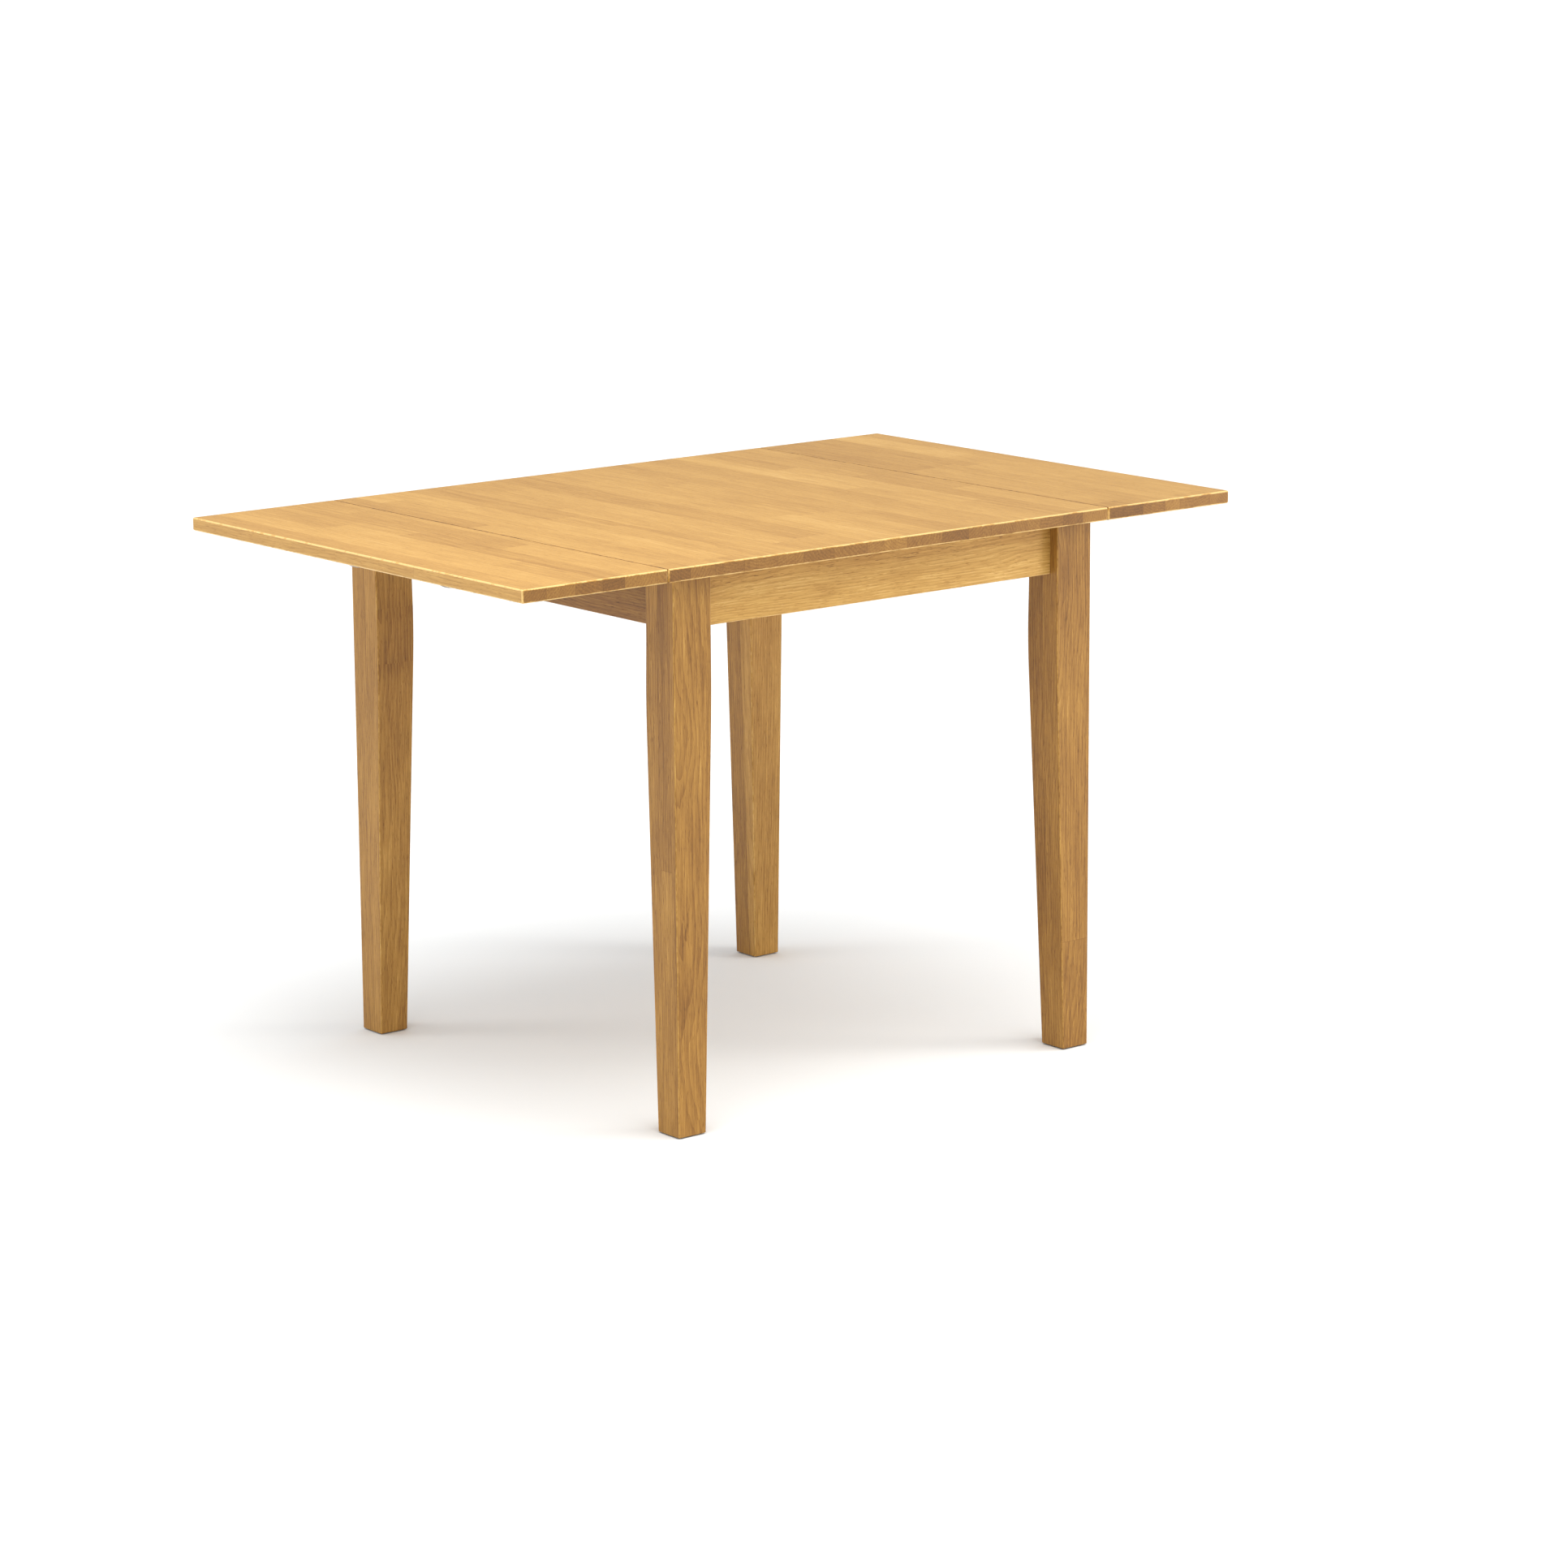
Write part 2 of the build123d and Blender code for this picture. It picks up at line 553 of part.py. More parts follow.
def hinge_plate(side, middle_y, first_knuckle, reach, bore, screw_points):
    """One flap of a hinge. side is the way the flap lies from its pin, -1 or 1 along X."""
    knuckles = range(first_knuckle, KNUCKLE_COUNT, 2)
    centres = [middle_y + (k + 0.5) * KNUCKLE_PITCH - HINGE_WIDTH / 2 for k in knuckles]
    width = KNUCKLE_PITCH - KNUCKLE_GAP
    with BuildPart() as flap:
        with BuildSketch(Plane.XY.offset(PLATE_BOTTOM)):
            with Locations((HINGE_X + side * (PLATE_START + reach) / 2, middle_y)):
                RectangleRounded(reach - PLATE_START, HINGE_WIDTH - KNUCKLE_GAP, PLATE_CORNER)
            with Locations(*[(HINGE_X + side * PLATE_START, y) for y in centres]):
                Rectangle(2 * PLATE_START, width)
        extrude(amount=PLATE_THICKNESS)
        with Locations(*[Plane((HINGE_X, y, HINGE_Z), z_dir=(0, 1, 0)) for y in centres]):
            Cylinder(KNUCKLE_RADIUS, width)
            Cylinder(bore, HINGE_WIDTH, mode=Mode.SUBTRACT)
        with Locations(*screw_points):
            add(countersunk_screw.part, mode=Mode.SUBTRACT)
    return flap.part


HINGE_NAMES = dict(zip(("front", "middle", "back"), HINGE_Y))
for name, y in HINGE_NAMES.items():
    fixed = hinge_plate(-1, y, 0, FIXED_PLATE_REACH, PIN_RADIUS, fixed_hinge_screws(1))
    moving = hinge_plate(1, y, 1, LEAF_PLATE_REACH, PIN_RADIUS + PIN_CLEARANCE, leaf_hinge_screws(1))
    for side, sx in SIDES.items():
        with BuildPart() as top_flap:
            add(fixed if sx > 0 else fixed.mirror(Plane.YZ))
        top_flap.part.label = f"{side}_{name}_hinge_top_flap"
        export_step(top_flap.part, f"parts/{side}_{name}_hinge_top_flap.step")
        with BuildPart() as leaf_flap:
            add(moving if sx > 0 else moving.mirror(Plane.YZ))
        leaf_flap.part.label = f"{side}_{name}_hinge_leaf_flap"
        export_step(leaf_flap.part, f"parts/{side}_{name}_hinge_leaf_flap.step")

with BuildPart() as hinge_pins:
    pins = [Plane((sx * HINGE_X, y, HINGE_Z), z_dir=(0, 1, 0)) for sx in SIDES.values() for y in HINGE_Y]
    with Locations(*pins):
        Cylinder(PIN_RADIUS, HINGE_WIDTH)
        head_place = (HINGE_WIDTH + PIN_HEAD_THICKNESS) / 2
        with Locations((0, 0, head_place), (0, 0, -head_place)):
            Cylinder(PIN_RADIUS + PIN_HEAD_FLARE, PIN_HEAD_THICKNESS)
hinge_pins.part.label = "hinge_pins"
export_step(hinge_pins.part, "parts/hinge_pins.step")

with BuildPart() as centre_hinge_screws:
    with Locations(*fixed_hinge_screws(-1), *fixed_hinge_screws(1)):
        add(countersunk_screw.part)
centre_hinge_screws.part.label = "centre_hinge_screws"
export_step(centre_hinge_screws.part, "parts/centre_hinge_screws.step")

for side, sx in SIDES.items():
    with BuildPart() as leaf_screws:
        with Locations(*leaf_hinge_screws(sx)):
            add(countersunk_screw.part)
    leaf_screws.part.label = f"{side}_leaf_hinge_screws"
    export_step(leaf_screws.part, f"parts/{side}_leaf_hinge_screws.step")

# ---------------------------------------------------------------------- stays
def mirrored_to(side_x, solid):
    """The right-hand stay as drawn, or its mirror image for the left end."""
    return solid if side_x > 0 else solid.mirror(Plane.YZ)


def crosswise(y):
    """A plane facing +Y at this y, with sketch X along the table's -X and Y up."""
    return Plane((0, y, 0), x_dir=(-1, 0, 0), z_dir=(0, 1, 0))


for end, y in zip(ENDS, STAY_Y):
    pivot = (-STAY_PIVOT_X, STAY_PIVOT_Z)

    with BuildPart() as apron_plate:
        with BuildSketch(Plane.YZ.offset(APRON_FACE_X)):
            with Locations((y + STEEL / 2, STAY_PIVOT_Z)):
                RectangleRounded(STAY_PLATE_WIDTH, STAY_PLATE_HEIGHT, STAY_PLATE_CORNER)
        extrude(amount=STEEL)
        with BuildSketch(crosswise(y)) as ear:
            with Locations(pivot):
                Circle(EAR_RADIUS)
            with Locations((-APRON_FACE_X - STEEL / 2, STAY_PIVOT_Z)):
                Rectangle(STEEL, EAR_ROOT)
            make_hull()
            with Locations(pivot):
                Circle(PIVOT_RADIUS, mode=Mode.SUBTRACT)
        extrude(amount=STEEL)
        with Locations(*stay_plate_screw_planes(1)):
            add(countersunk_screw.part, mode=Mode.SUBTRACT)

    with BuildPart() as arm:
        lie = Plane((STAY_PIVOT_X, y + ARM_LAYER, STAY_PIVOT_Z),
                    x_dir=(cos(radians(ARM_UP_ANGLE)), 0, sin(radians(ARM_UP_ANGLE))), z_dir=(0, 1, 0))
        with BuildSketch(lie):
            with Locations((STAY_LENGTH / 2, 0)):
                SlotCenterToCenter(STAY_LENGTH, STAY_WIDTH)
            Circle(PIVOT_RADIUS + PIN_CLEARANCE, mode=Mode.SUBTRACT)
            with Locations((STAY_LENGTH, 0)):
                Circle(STUD_RADIUS, mode=Mode.SUBTRACT)
        extrude(amount=STAY_THICKNESS)

    with BuildPart() as stud:
        with BuildSketch(crosswise(y + ARM_LAYER)):
            with Locations((-SLOT_POINTS[0][0], SLOT_POINTS[0][1])):
                Circle(STUD_RADIUS)
        extrude(amount=STUD_HEAD_LAYER - ARM_LAYER)
        with BuildSketch(crosswise(y + STUD_HEAD_LAYER)):
            with Locations((-SLOT_POINTS[0][0], SLOT_POINTS[0][1])):
                Circle(STUD_HEAD_RADIUS)
        extrude(amount=STUD_HEAD_THICKNESS)
        fillet(stud.edges().group_by(Axis.Y)[-1], STUD_HEAD_ROUND)

    with BuildPart() as track:
        with BuildSketch(crosswise(y + TRACK_LAYER)):
            with BuildLine(mode=Mode.PRIVATE) as path:
                first, second, third, fourth, last = [(-x, z) for x, z in SLOT_POINTS]
                ThreePointArc(first, second, third)
                ThreePointArc(third, fourth, last)
            SlotArc(path.wire(), 2 * (SLOT_RADIUS + SLOT_WALL))
            with Locations((-SLOT_MIDDLE_X, UNDERSIDE - TRACK_STEEL / 2)):
                Rectangle(TRACK_LENGTH, TRACK_STEEL)
            make_hull()
            SlotArc(path.wire(), 2 * SLOT_RADIUS, mode=Mode.SUBTRACT)
        extrude(amount=TRACK_STEEL)
        with BuildSketch(Plane.XY.offset(UNDERSIDE)):
            with Locations((SLOT_MIDDLE_X, y + TRACK_LAYER + TRACK_FOOT / 2)):
                Rectangle(TRACK_LENGTH, TRACK_FOOT)
        extrude(amount=-TRACK_STEEL)
        fillet(track.edges().filter_by(Axis.Z).group_by(Axis.Y)[-1], TRACK_CORNER)
        with Locations(*track_screws(1)):
            add(countersunk_screw.part, mode=Mode.SUBTRACT)

    for side, sx in SIDES.items():
        for name, drawn in (("plate", apron_plate), ("arm", arm), ("stud", stud), ("track", track)):
            with BuildPart() as stay_piece:
                add(mirrored_to(sx, drawn.part))
            stay_piece.part.label = f"{end}_{side}_stay_{name}"
            export_step(stay_piece.part, f"parts/{end}_{side}_stay_{name}.step")

with BuildPart() as stay_pivots:
    for y in STAY_Y:
        for sx in SIDES.values():
            with Locations(Plane((sx * STAY_PIVOT_X, y, STAY_PIVOT_Z), z_dir=(0, 1, 0))):
                Cylinder(STUD_HEAD_RADIUS, PIVOT_HEAD_THICKNESS, align=HEAD_UP)
                Cylinder(PIVOT_RADIUS, TRACK_LAYER, align=SHANK_UP)
                with Locations((0, 0, TRACK_LAYER)):
                    Cylinder(STUD_HEAD_RADIUS, PIVOT_HEAD_THICKNESS, align=SHANK_UP)
stay_pivots.part.label = "stay_pivots"
export_step(stay_pivots.part, "parts/stay_pivots.step")

with BuildPart() as stay_plate_screws:
    with Locations(*STAY_PLATE_SCREW_PLANES):
        add(countersunk_screw.part)
stay_plate_screws.part.label = "stay_plate_screws"
export_step(stay_plate_screws.part, "parts/stay_plate_screws.step")

for side, sx in SIDES.items():
    with BuildPart() as side_track_screws:
        with Locations(*track_screws(sx)):
            add(countersunk_screw.part)
    side_track_screws.part.label = f"{side}_leaf_track_screws"
    export_step(side_track_screws.part, f"parts/{side}_leaf_track_screws.step")

print(f"stay arm turns {ARM_RATIO:.5f} times the leaf")
print(f"arm goes from {ARM_UP_ANGLE:.2f} to {-ARM_DOWN_ANGLE:.2f} degrees")
print(f"leaf pin at x {HINGE_X:.1f}, z {HINGE_Z:.1f}")
print(f"arm pivot at x {STAY_PIVOT_X:.1f}, z {STAY_PIVOT_Z:.1f}")
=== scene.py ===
# %% [markdown]
# # A drop leaf table, finished in Blender
# The CAD model fixes every shape, size and joint of this kitchen table. This
# notebook gives it its looks: stained and lacquered wood with staves, pores and
# rings, plated steel fittings, and real screw heads, nuts and threads below.
# The first cell loads the imported model as a frame, which nothing here moves.

import math

import bmesh
import bpy
import numpy as np
from mathutils import Matrix, Vector


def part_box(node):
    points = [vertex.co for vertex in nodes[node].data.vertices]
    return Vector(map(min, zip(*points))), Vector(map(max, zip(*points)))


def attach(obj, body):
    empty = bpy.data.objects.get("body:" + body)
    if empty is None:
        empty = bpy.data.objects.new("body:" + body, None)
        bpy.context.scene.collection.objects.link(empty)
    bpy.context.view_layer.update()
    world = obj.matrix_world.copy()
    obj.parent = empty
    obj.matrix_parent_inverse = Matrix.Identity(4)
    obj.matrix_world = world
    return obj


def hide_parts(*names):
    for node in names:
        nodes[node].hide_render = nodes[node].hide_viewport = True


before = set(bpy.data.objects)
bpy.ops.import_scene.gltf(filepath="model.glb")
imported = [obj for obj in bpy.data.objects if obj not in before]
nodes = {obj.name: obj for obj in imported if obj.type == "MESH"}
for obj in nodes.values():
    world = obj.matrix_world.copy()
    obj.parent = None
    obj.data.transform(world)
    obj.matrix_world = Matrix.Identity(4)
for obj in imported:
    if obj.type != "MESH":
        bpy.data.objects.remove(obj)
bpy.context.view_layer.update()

# %% [markdown]
# ## The camera and the light
# A long lens from a standing person's distance keeps the legs nearly upright.
# The studio is plain: a pale floor, a sky that is brighter overhead than at the
# horizon, one wide key from above the front right, and three soft panels: one
# close above the near corner, one at the front right and one at the back left.

# %% Camera
AIM = Vector((0.0645, -0.0621, 0.3659))
CAMERA_DISTANCE = 6.718
CAMERA_AZIMUTH = math.radians(-39.10)
CAMERA_ELEVATION = math.radians(12.25)
CAMERA_ROLL = math.radians(-0.37)
LENS = 110.7

back = Vector((
    math.sin(CAMERA_AZIMUTH) * math.cos(CAMERA_ELEVATION),
    -math.cos(CAMERA_AZIMUTH) * math.cos(CAMERA_ELEVATION),
    math.sin(CAMERA_ELEVATION),
))
camera = bpy.data.objects.new("camera", bpy.data.cameras.new("camera"))
camera.data.lens = LENS
camera.location = AIM + back * CAMERA_DISTANCE
turn = (-back).to_track_quat("-Z", "Y").to_matrix() @ Matrix.Rotation(CAMERA_ROLL, 3, "Z")
camera.rotation_euler = turn.to_euler()
bpy.context.scene.collection.objects.link(camera)
bpy.context.scene.camera = camera
print("camera stands at", [round(value, 2) for value in camera.location])


# %% Helpers for objects and shader trees
def add_object(name, data):
    """A new object at the origin, linked to the scene."""
    made = bpy.data.objects.new(name, data)
    bpy.context.scene.collection.objects.link(made)
    return made


def any_node(tree, kind, inputs=None, **settings):
    """Add a node of any kind, set its options, and fill or link its sockets."""
    made = tree.nodes.new(kind)
    for option, value in settings.items():
        setattr(made, option, value)
    for socket, value in (inputs or {}).items():
        for item in value if isinstance(value, list) else [value]:
            if isinstance(item, bpy.types.NodeSocket):
                tree.links.new(item, made.inputs[socket])
            else:
                made.inputs[socket].default_value = item
    return made


def shader_node(tree, kind, inputs=None, **settings):
    """Add a shader node by its short name."""
    return any_node(tree, "ShaderNode" + kind, inputs, **settings)


def sum_of(tree, operation, first, second=0.0):
    """The result socket of one Math node."""
    return shader_node(tree, "Math", {0: first, 1: second}, operation=operation).outputs[0]


def times(tree, value, factor):
    """One value times another."""
    return sum_of(tree, "MULTIPLY", value, factor)


def minus(tree, value, taken):
    """One value less another."""
    return sum_of(tree, "SUBTRACT", value, taken)


def size_of(tree, value):
    """A value without its sign."""
    return sum_of(tree, "ABSOLUTE", value)


def split(tree, vector):
    """The X, Y and Z parts of a vector."""
    return shader_node(tree, "SeparateXYZ", {0: vector}).outputs


def fade(tree, value, start, end, low=0.0, high=1.0):
    """Map a value from start..end to low..high, smoothly and clamped."""
    made = shader_node(tree, "MapRange", {"Value": value, "From Min": start, "From Max": end,
                                          "To Min": low, "To Max": high}, interpolation_type="SMOOTHSTEP")
    return made.outputs[0]


# %% Floor and light
FLOOR_SIZE = 120.0
FLOOR_ROUGHNESS = 0.9
FLOOR_TONE = (0.80, 0.825, 0.845, 1)
SKY_TONE = (0.98, 0.99, 1.0, 1)
SKY_AT_HORIZON = 0.25
SKY_OVERHEAD = 1.10
SKY_RISE = (0.05, 0.75)
KEY_STRENGTH = 1.65
KEY_TONE = (1.0, 0.97, 0.92)
KEY_SOFTNESS = math.radians(50)
KEY_TURN = (math.radians(24), 0, math.radians(14))
PANEL_TONE = (1.0, 0.95, 0.88)
# Each panel's name, place, aim, width and power in watts.
PANELS = (
    ("near_panel", Vector((-1.0, -0.5, 1.95)), Vector((-0.45, -0.30, 0.76)), 0.9, 10.0),
    ("front_panel", Vector((2.7, -2.3, 1.1)), Vector((0.33, -0.33, 0.45)), 1.2, 38.0),
    ("left_panel", Vector((-2.3, 2.0, 1.1)), Vector((-0.33, 0.33, 0.45)), 1.2, 18.0),
)

floor_mesh = bpy.data.meshes.new("floor")
half = FLOOR_SIZE / 2
corners = [(-half, -half, 0), (half, -half, 0), (half, half, 0), (-half, half, 0)]
floor_mesh.from_pydata(corners, [], [(0, 1, 2, 3)])
floor = add_object("floor", floor_mesh)
floor_paint = bpy.data.materials.new("floor_paint")
floor_paint.use_nodes = True
floor_shader = floor_paint.node_tree.nodes["Principled BSDF"]
floor_shader.inputs["Base Color"].default_value = FLOOR_TONE
floor_shader.inputs["Roughness"].default_value = FLOOR_ROUGHNESS
floor_shader.inputs["Specular IOR Level"].default_value = 0.0
floor_mesh.materials.append(floor_paint)

world = bpy.data.worlds.new("studio")
world.use_nodes = True
sky = world.node_tree.nodes["Background"]
sky.inputs["Color"].default_value = SKY_TONE
direction = shader_node(world.node_tree, "TexCoord").outputs["Generated"]
height = split(world.node_tree, direction)["Z"]
glow = fade(world.node_tree, height, *SKY_RISE, SKY_AT_HORIZON, SKY_OVERHEAD)
world.node_tree.links.new(glow, sky.inputs["Strength"])
bpy.context.scene.world = world

key = add_object("key_light", bpy.data.lights.new("key_light", "SUN"))
key.data.energy = KEY_STRENGTH
key.data.color = KEY_TONE
key.data.angle = KEY_SOFTNESS
key.rotation_euler = KEY_TURN

for panel_name, place, aim, size, power in PANELS:
    panel = add_object(panel_name, bpy.data.lights.new(panel_name, "AREA"))
    panel.data.shape = "DISK"
    panel.data.size = size
    panel.data.energy = power
    panel.data.color = PANEL_TONE
    panel.location = place
    panel.rotation_euler = (aim - place).to_track_quat("-Z", "Y").to_euler()
    # The near panel lights the wood but is left out of reflections.
    panel.visible_camera = False
    panel.visible_glossy = panel_name != "near_panel"
bpy.context.scene.view_settings.view_transform = "Standard"

# %% [markdown]
# ## The wood
# The table is taken to be rubberwood, glued up from short staves and stained a
# honey oak colour. A picture of wood would show the same lines on every face, so this is
# a solid wood: each stave is a piece cut from its own tree, with growth rings
# round a heart that lies somewhere beside it. A face that cuts along the tree
# shows stripes and arches, and an end shows arcs, with no work per face.

# %% Patterns that run along the grain
ARRIS_SQUARENESS = (0.992, 0.93)


def stretched(tree, parts, scales):
    """A vector of the three coordinates, each times its own scale."""
    scaled = [times(tree, part, scale) for part, scale in zip(parts, scales)]
    return shader_node(tree, "CombineXYZ", {0: scaled[0], 1: scaled[1], 2: scaled[2]}).outputs[0]


def noise(tree, vector, detail=2.0, roughness=0.5, distortion=0.0):
    """Soft random values from 0 to 1, mostly near the middle."""
    made = shader_node(tree, "TexNoise", {"Vector": vector, "Scale": 1.0, "Detail": detail,
                                          "Roughness": roughness, "Distortion": distortion})
    return made.outputs[0]


def swing(tree, value, amount):
    """How far a 0 to 1 value lies from its middle, times an amount."""
    return times(tree, minus(tree, value, 0.5), amount)


def cells(tree, position, randomness):
    """Uneven cells along a line: their random colour channels and the distance to their ends."""
    inputs = {"W": position, "Scale": 1.0, "Randomness": randomness}
    body = shader_node(tree, "TexVoronoi", inputs, voronoi_dimensions="1D", feature="F1")
    ends = shader_node(tree, "TexVoronoi", inputs, voronoi_dimensions="1D", feature="DISTANCE_TO_EDGE")
    chances = shader_node(tree, "SeparateColor", {0: body.outputs["Color"]})
    return chances.outputs, ends.outputs["Distance"]


def turned_about_z(tree, vector, angle):
    """The vector turned about the upright axis, for boards that lie across the table's lines."""
    inputs = {"Vector": vector, "Angle": angle}
    return shader_node(tree, "VectorRotate", inputs, rotation_type="Z_AXIS").outputs[0]


def total(tree, *terms):
    """The sum of several values."""
    result = terms[0]
    for term in terms[1:]:
        result = sum_of(tree, "ADD", result, term)
    return result


def folded(tree, value, period):
    """How far a value lies from the nearest whole number of periods."""
    whole = sum_of(tree, "ROUND", sum_of(tree, "DIVIDE", value, period))
    return minus(tree, value, times(tree, whole, period))


def arris(tree, normal):
    """0 on a face that lies square to the table, rising to 1 where an edge is rounded over."""
    sizes = [size_of(tree, part) for part in normal]
    squareness = sum_of(tree, "MAXIMUM", sum_of(tree, "MAXIMUM", sizes[0], sizes[1]), sizes[2])
    return fade(tree, squareness, *ARRIS_SQUARENESS)


# %% Solid wood
# Lengths are in metres. A scale is how fast a pattern changes along the grain and
# in the two directions across it. A shade is how far something moves the tone.
RING_SPACING = 0.0042
HEART_PITCH_SIDE = 0.24
HEART_PITCH_UP = 0.30
HEART_REACH_SIDE = 0.15
HEART_REACH_UP = 0.10
HEART_BELOW = 0.014
TREE_LENGTH = 9.0
WAVE_REACH = 0.050
RIPPLE_TURNS = 1.3
WAVE_SCALE = (3.1, 9.0, 9.0)
RIPPLE_SCALE = (9.0, 75.0, 75.0)
CLOUD_SCALE = (5.5, 17.0, 17.0)
STREAK_SCALE = (5.0, 95.0, 95.0)
FIBRE_SCALE = (17.0, 520.0, 520.0)
PORE_SCALE = (85.0, 1250.0, 1250.0)
FLECK_SCALE = (60.0, 800.0, 800.0)
RUB_SCALE = (120.0, 60.0, 60.0)
GLUE_LINE = 0.0009
BUTT_LINE = 0.0008
SEAM_LINE = (0.0012, 0.0018)
MIDDLE_LEVEL = 0.60
BLOCK_SHADE = 0.17
STAVE_SHADE = 0.09
RING_SHADE = 0.13
CLOUD_SHADE = 0.40
STREAK_SHADE = 0.36
FIBRE_SHADE = 0.52
PORE_SHADE = -0.20
FLECK_SHADE = 0.10
JOINT_SHADE = -0.10
END_SHADE = -0.36
SEAM_SHADES = (-0.20, -0.75)
STAIN = ((0.00, (0.115, 0.047, 0.011, 1)), (0.25, (0.235, 0.103, 0.020, 1)),
         (0.50, (0.398, 0.200, 0.041, 1)), (0.75, (0.576, 0.328, 0.084, 1)),
         (1.00, (0.780, 0.520, 0.200, 1)))
RAW_WOOD = ((0.00, (0.300, 0.180, 0.085, 1)), (0.35, (0.470, 0.310, 0.165, 1)),
            (0.70, (0.620, 0.440, 0.260, 1)), (1.00, (0.740, 0.570, 0.370, 1)))


def wood_finish(name, grain, across, stave_width, block_length, seed, tone=0.0, contrast=1.0,
                colours=STAIN, coat=0.13, rough=0.46, strip=None, saw_marks=0.0, edge_wear_and_glint=0.22,
                seam=0.0, turn_z=0.0, smear=1.0):
    """A solid wood material. grain and across are axis letters.

    strip is (start, end, tone) along across, and smear scales the broad figure.
    """
    made = bpy.data.materials.new(name)
    made.use_nodes = True
    tree = made.node_tree
    shader = tree.nodes["Principled BSDF"]
    place = turned_about_z(tree, shader_node(tree, "TexCoord").outputs["Object"], turn_z)
    axes = split(tree, place)
    third = ({"X", "Y", "Z"} - {grain, across}).pop()
    along, side, up = axes[grain], axes[across], axes[third]

    row = total(tree, sum_of(tree, "DIVIDE", side, stave_width), seed)
    stave, stave_edge = cells(tree, row, 0.8)
    shift = times(tree, stave[0], 37.0)
    place_in_row = total(tree, sum_of(tree, "DIVIDE", along, block_length), shift)
    block, block_edge = cells(tree, place_in_row, 0.9)

    # Slow waves bend the rings, as a trunk's own bends and branches do. Each block
    # is cut from its own place in its tree, so its patterns start elsewhere.
    moved = total(tree, along, times(tree, block[0], TREE_LENGTH), seed)
    inside_tree = (moved, side, up)
    wave = noise(tree, stretched(tree, inside_tree, WAVE_SCALE))
    heart_side = swing(tree, block[1], HEART_REACH_SIDE)
    heart_up = total(tree, times(tree, block[2], HEART_REACH_UP), HEART_BELOW)
    from_side = total(tree, side, heart_side, swing(tree, wave, WAVE_REACH))
    from_side = folded(tree, from_side, HEART_PITCH_SIDE)
    from_up = folded(tree, total(tree, up, heart_up), HEART_PITCH_UP)
    squares = total(tree, times(tree, from_side, from_side), times(tree, from_up, from_up))
    radius = sum_of(tree, "SQRT", squares)
    ripple = noise(tree, stretched(tree, inside_tree, RIPPLE_SCALE))
    turns = total(tree, sum_of(tree, "DIVIDE", radius, RING_SPACING), times(tree, ripple, RIPPLE_TURNS))
    ring = sum_of(tree, "POWER", sum_of(tree, "FRACT", turns), 2.0)

    # Fibres and pores run along the grain; on an end they turn into dots.
    cloud = noise(tree, stretched(tree, inside_tree, CLOUD_SCALE), 3.0, 0.55)
    streak = noise(tree, stretched(tree, inside_tree, STREAK_SCALE), 3.0, 0.6)
    fibre = noise(tree, stretched(tree, inside_tree, FIBRE_SCALE), 3.0, 0.6)
    dark_pores = fade(tree, noise(tree, stretched(tree, inside_tree, PORE_SCALE), 1.0), 0.60, 0.72)
    flecks = noise(tree, stretched(tree, (along, side, up), FLECK_SCALE), 1.0)
    pale_flecks = fade(tree, flecks, 0.64, 0.74)

    normal = turned_about_z(tree, shader_node(tree, "NewGeometry").outputs["True Normal"], turn_z)
    facing = split(tree, normal)
    on_end = fade(tree, size_of(tree, facing[grain]), 0.6, 0.95)
    glue = fade(tree, times(tree, stave_edge, stave_width), 0.0, GLUE_LINE, 1.0, 0.0)
    butt = fade(tree, times(tree, block_edge, block_length), 0.0, BUTT_LINE, 1.0, 0.0)
    joint = sum_of(tree, "MAXIMUM", glue, butt)
    rubs = noise(tree, stretched(tree, (along, side, up), RUB_SCALE), 2.0)
    broken = fade(tree, rubs, 0.36, 0.56)
    # Rounded edges are made paler: partly worn lacquer, partly a painted highlight along the rim.
    rounded_edge = arris(tree, facing[0:3])
    edge_wear_and_glint_mask = times(tree, rounded_edge, total(tree, 0.35, times(tree, broken, 0.65)))

    level = total(
        tree,
        MIDDLE_LEVEL + tone,
        times(tree, swing(tree, block[2], BLOCK_SHADE * contrast),
              total(tree, 1.0, times(tree, on_end, 0.5))),
        swing(tree, stave[1], STAVE_SHADE * contrast),
        times(tree, minus(tree, 0.33, ring), RING_SHADE * contrast),
        swing(tree, cloud, CLOUD_SHADE * contrast * smear),
        swing(tree, streak, STREAK_SHADE * contrast * smear),
        swing(tree, fibre, FIBRE_SHADE * contrast),
        times(tree, dark_pores, PORE_SHADE * contrast),
        times(tree, pale_flecks, FLECK_SHADE * contrast),
        times(tree, joint, JOINT_SHADE),
        times(tree, on_end, END_SHADE),
        times(tree, edge_wear_and_glint_mask, edge_wear_and_glint),
    )
    if strip:
        start, end, strip_tone = strip
        inside = times(tree, sum_of(tree, "GREATER_THAN", side, start),
                       sum_of(tree, "LESS_THAN", side, end))
        level = total(tree, level, times(tree, inside, strip_tone),
                      times(tree, times(tree, inside, dark_pores), PORE_SHADE))

    # Along the seams between the centre panel and the leaves the edges are darkened: painted shade of the
    # gap, strongest on the rims that face up.
    if seam:
        from_seam = size_of(tree, minus(tree, size_of(tree, side), seam))
        painted_seam_shade = fade(tree, size_of(tree, facing[third]), 0.0, 0.5, *SEAM_SHADES)
        at_seam = fade(tree, from_seam, *SEAM_LINE, 1.0, 0.0)
        level = total(tree, level, times(tree, at_seam, painted_seam_shade))

    ramp = shader_node(tree, "ValToRGB", {0: level})
    stops = ramp.color_ramp.elements
    stops[0].color = colours[0][1]
    stops[1].color = colours[-1][1]
    for position, colour in colours[1:-1]:
        stops.new(position).color = colour

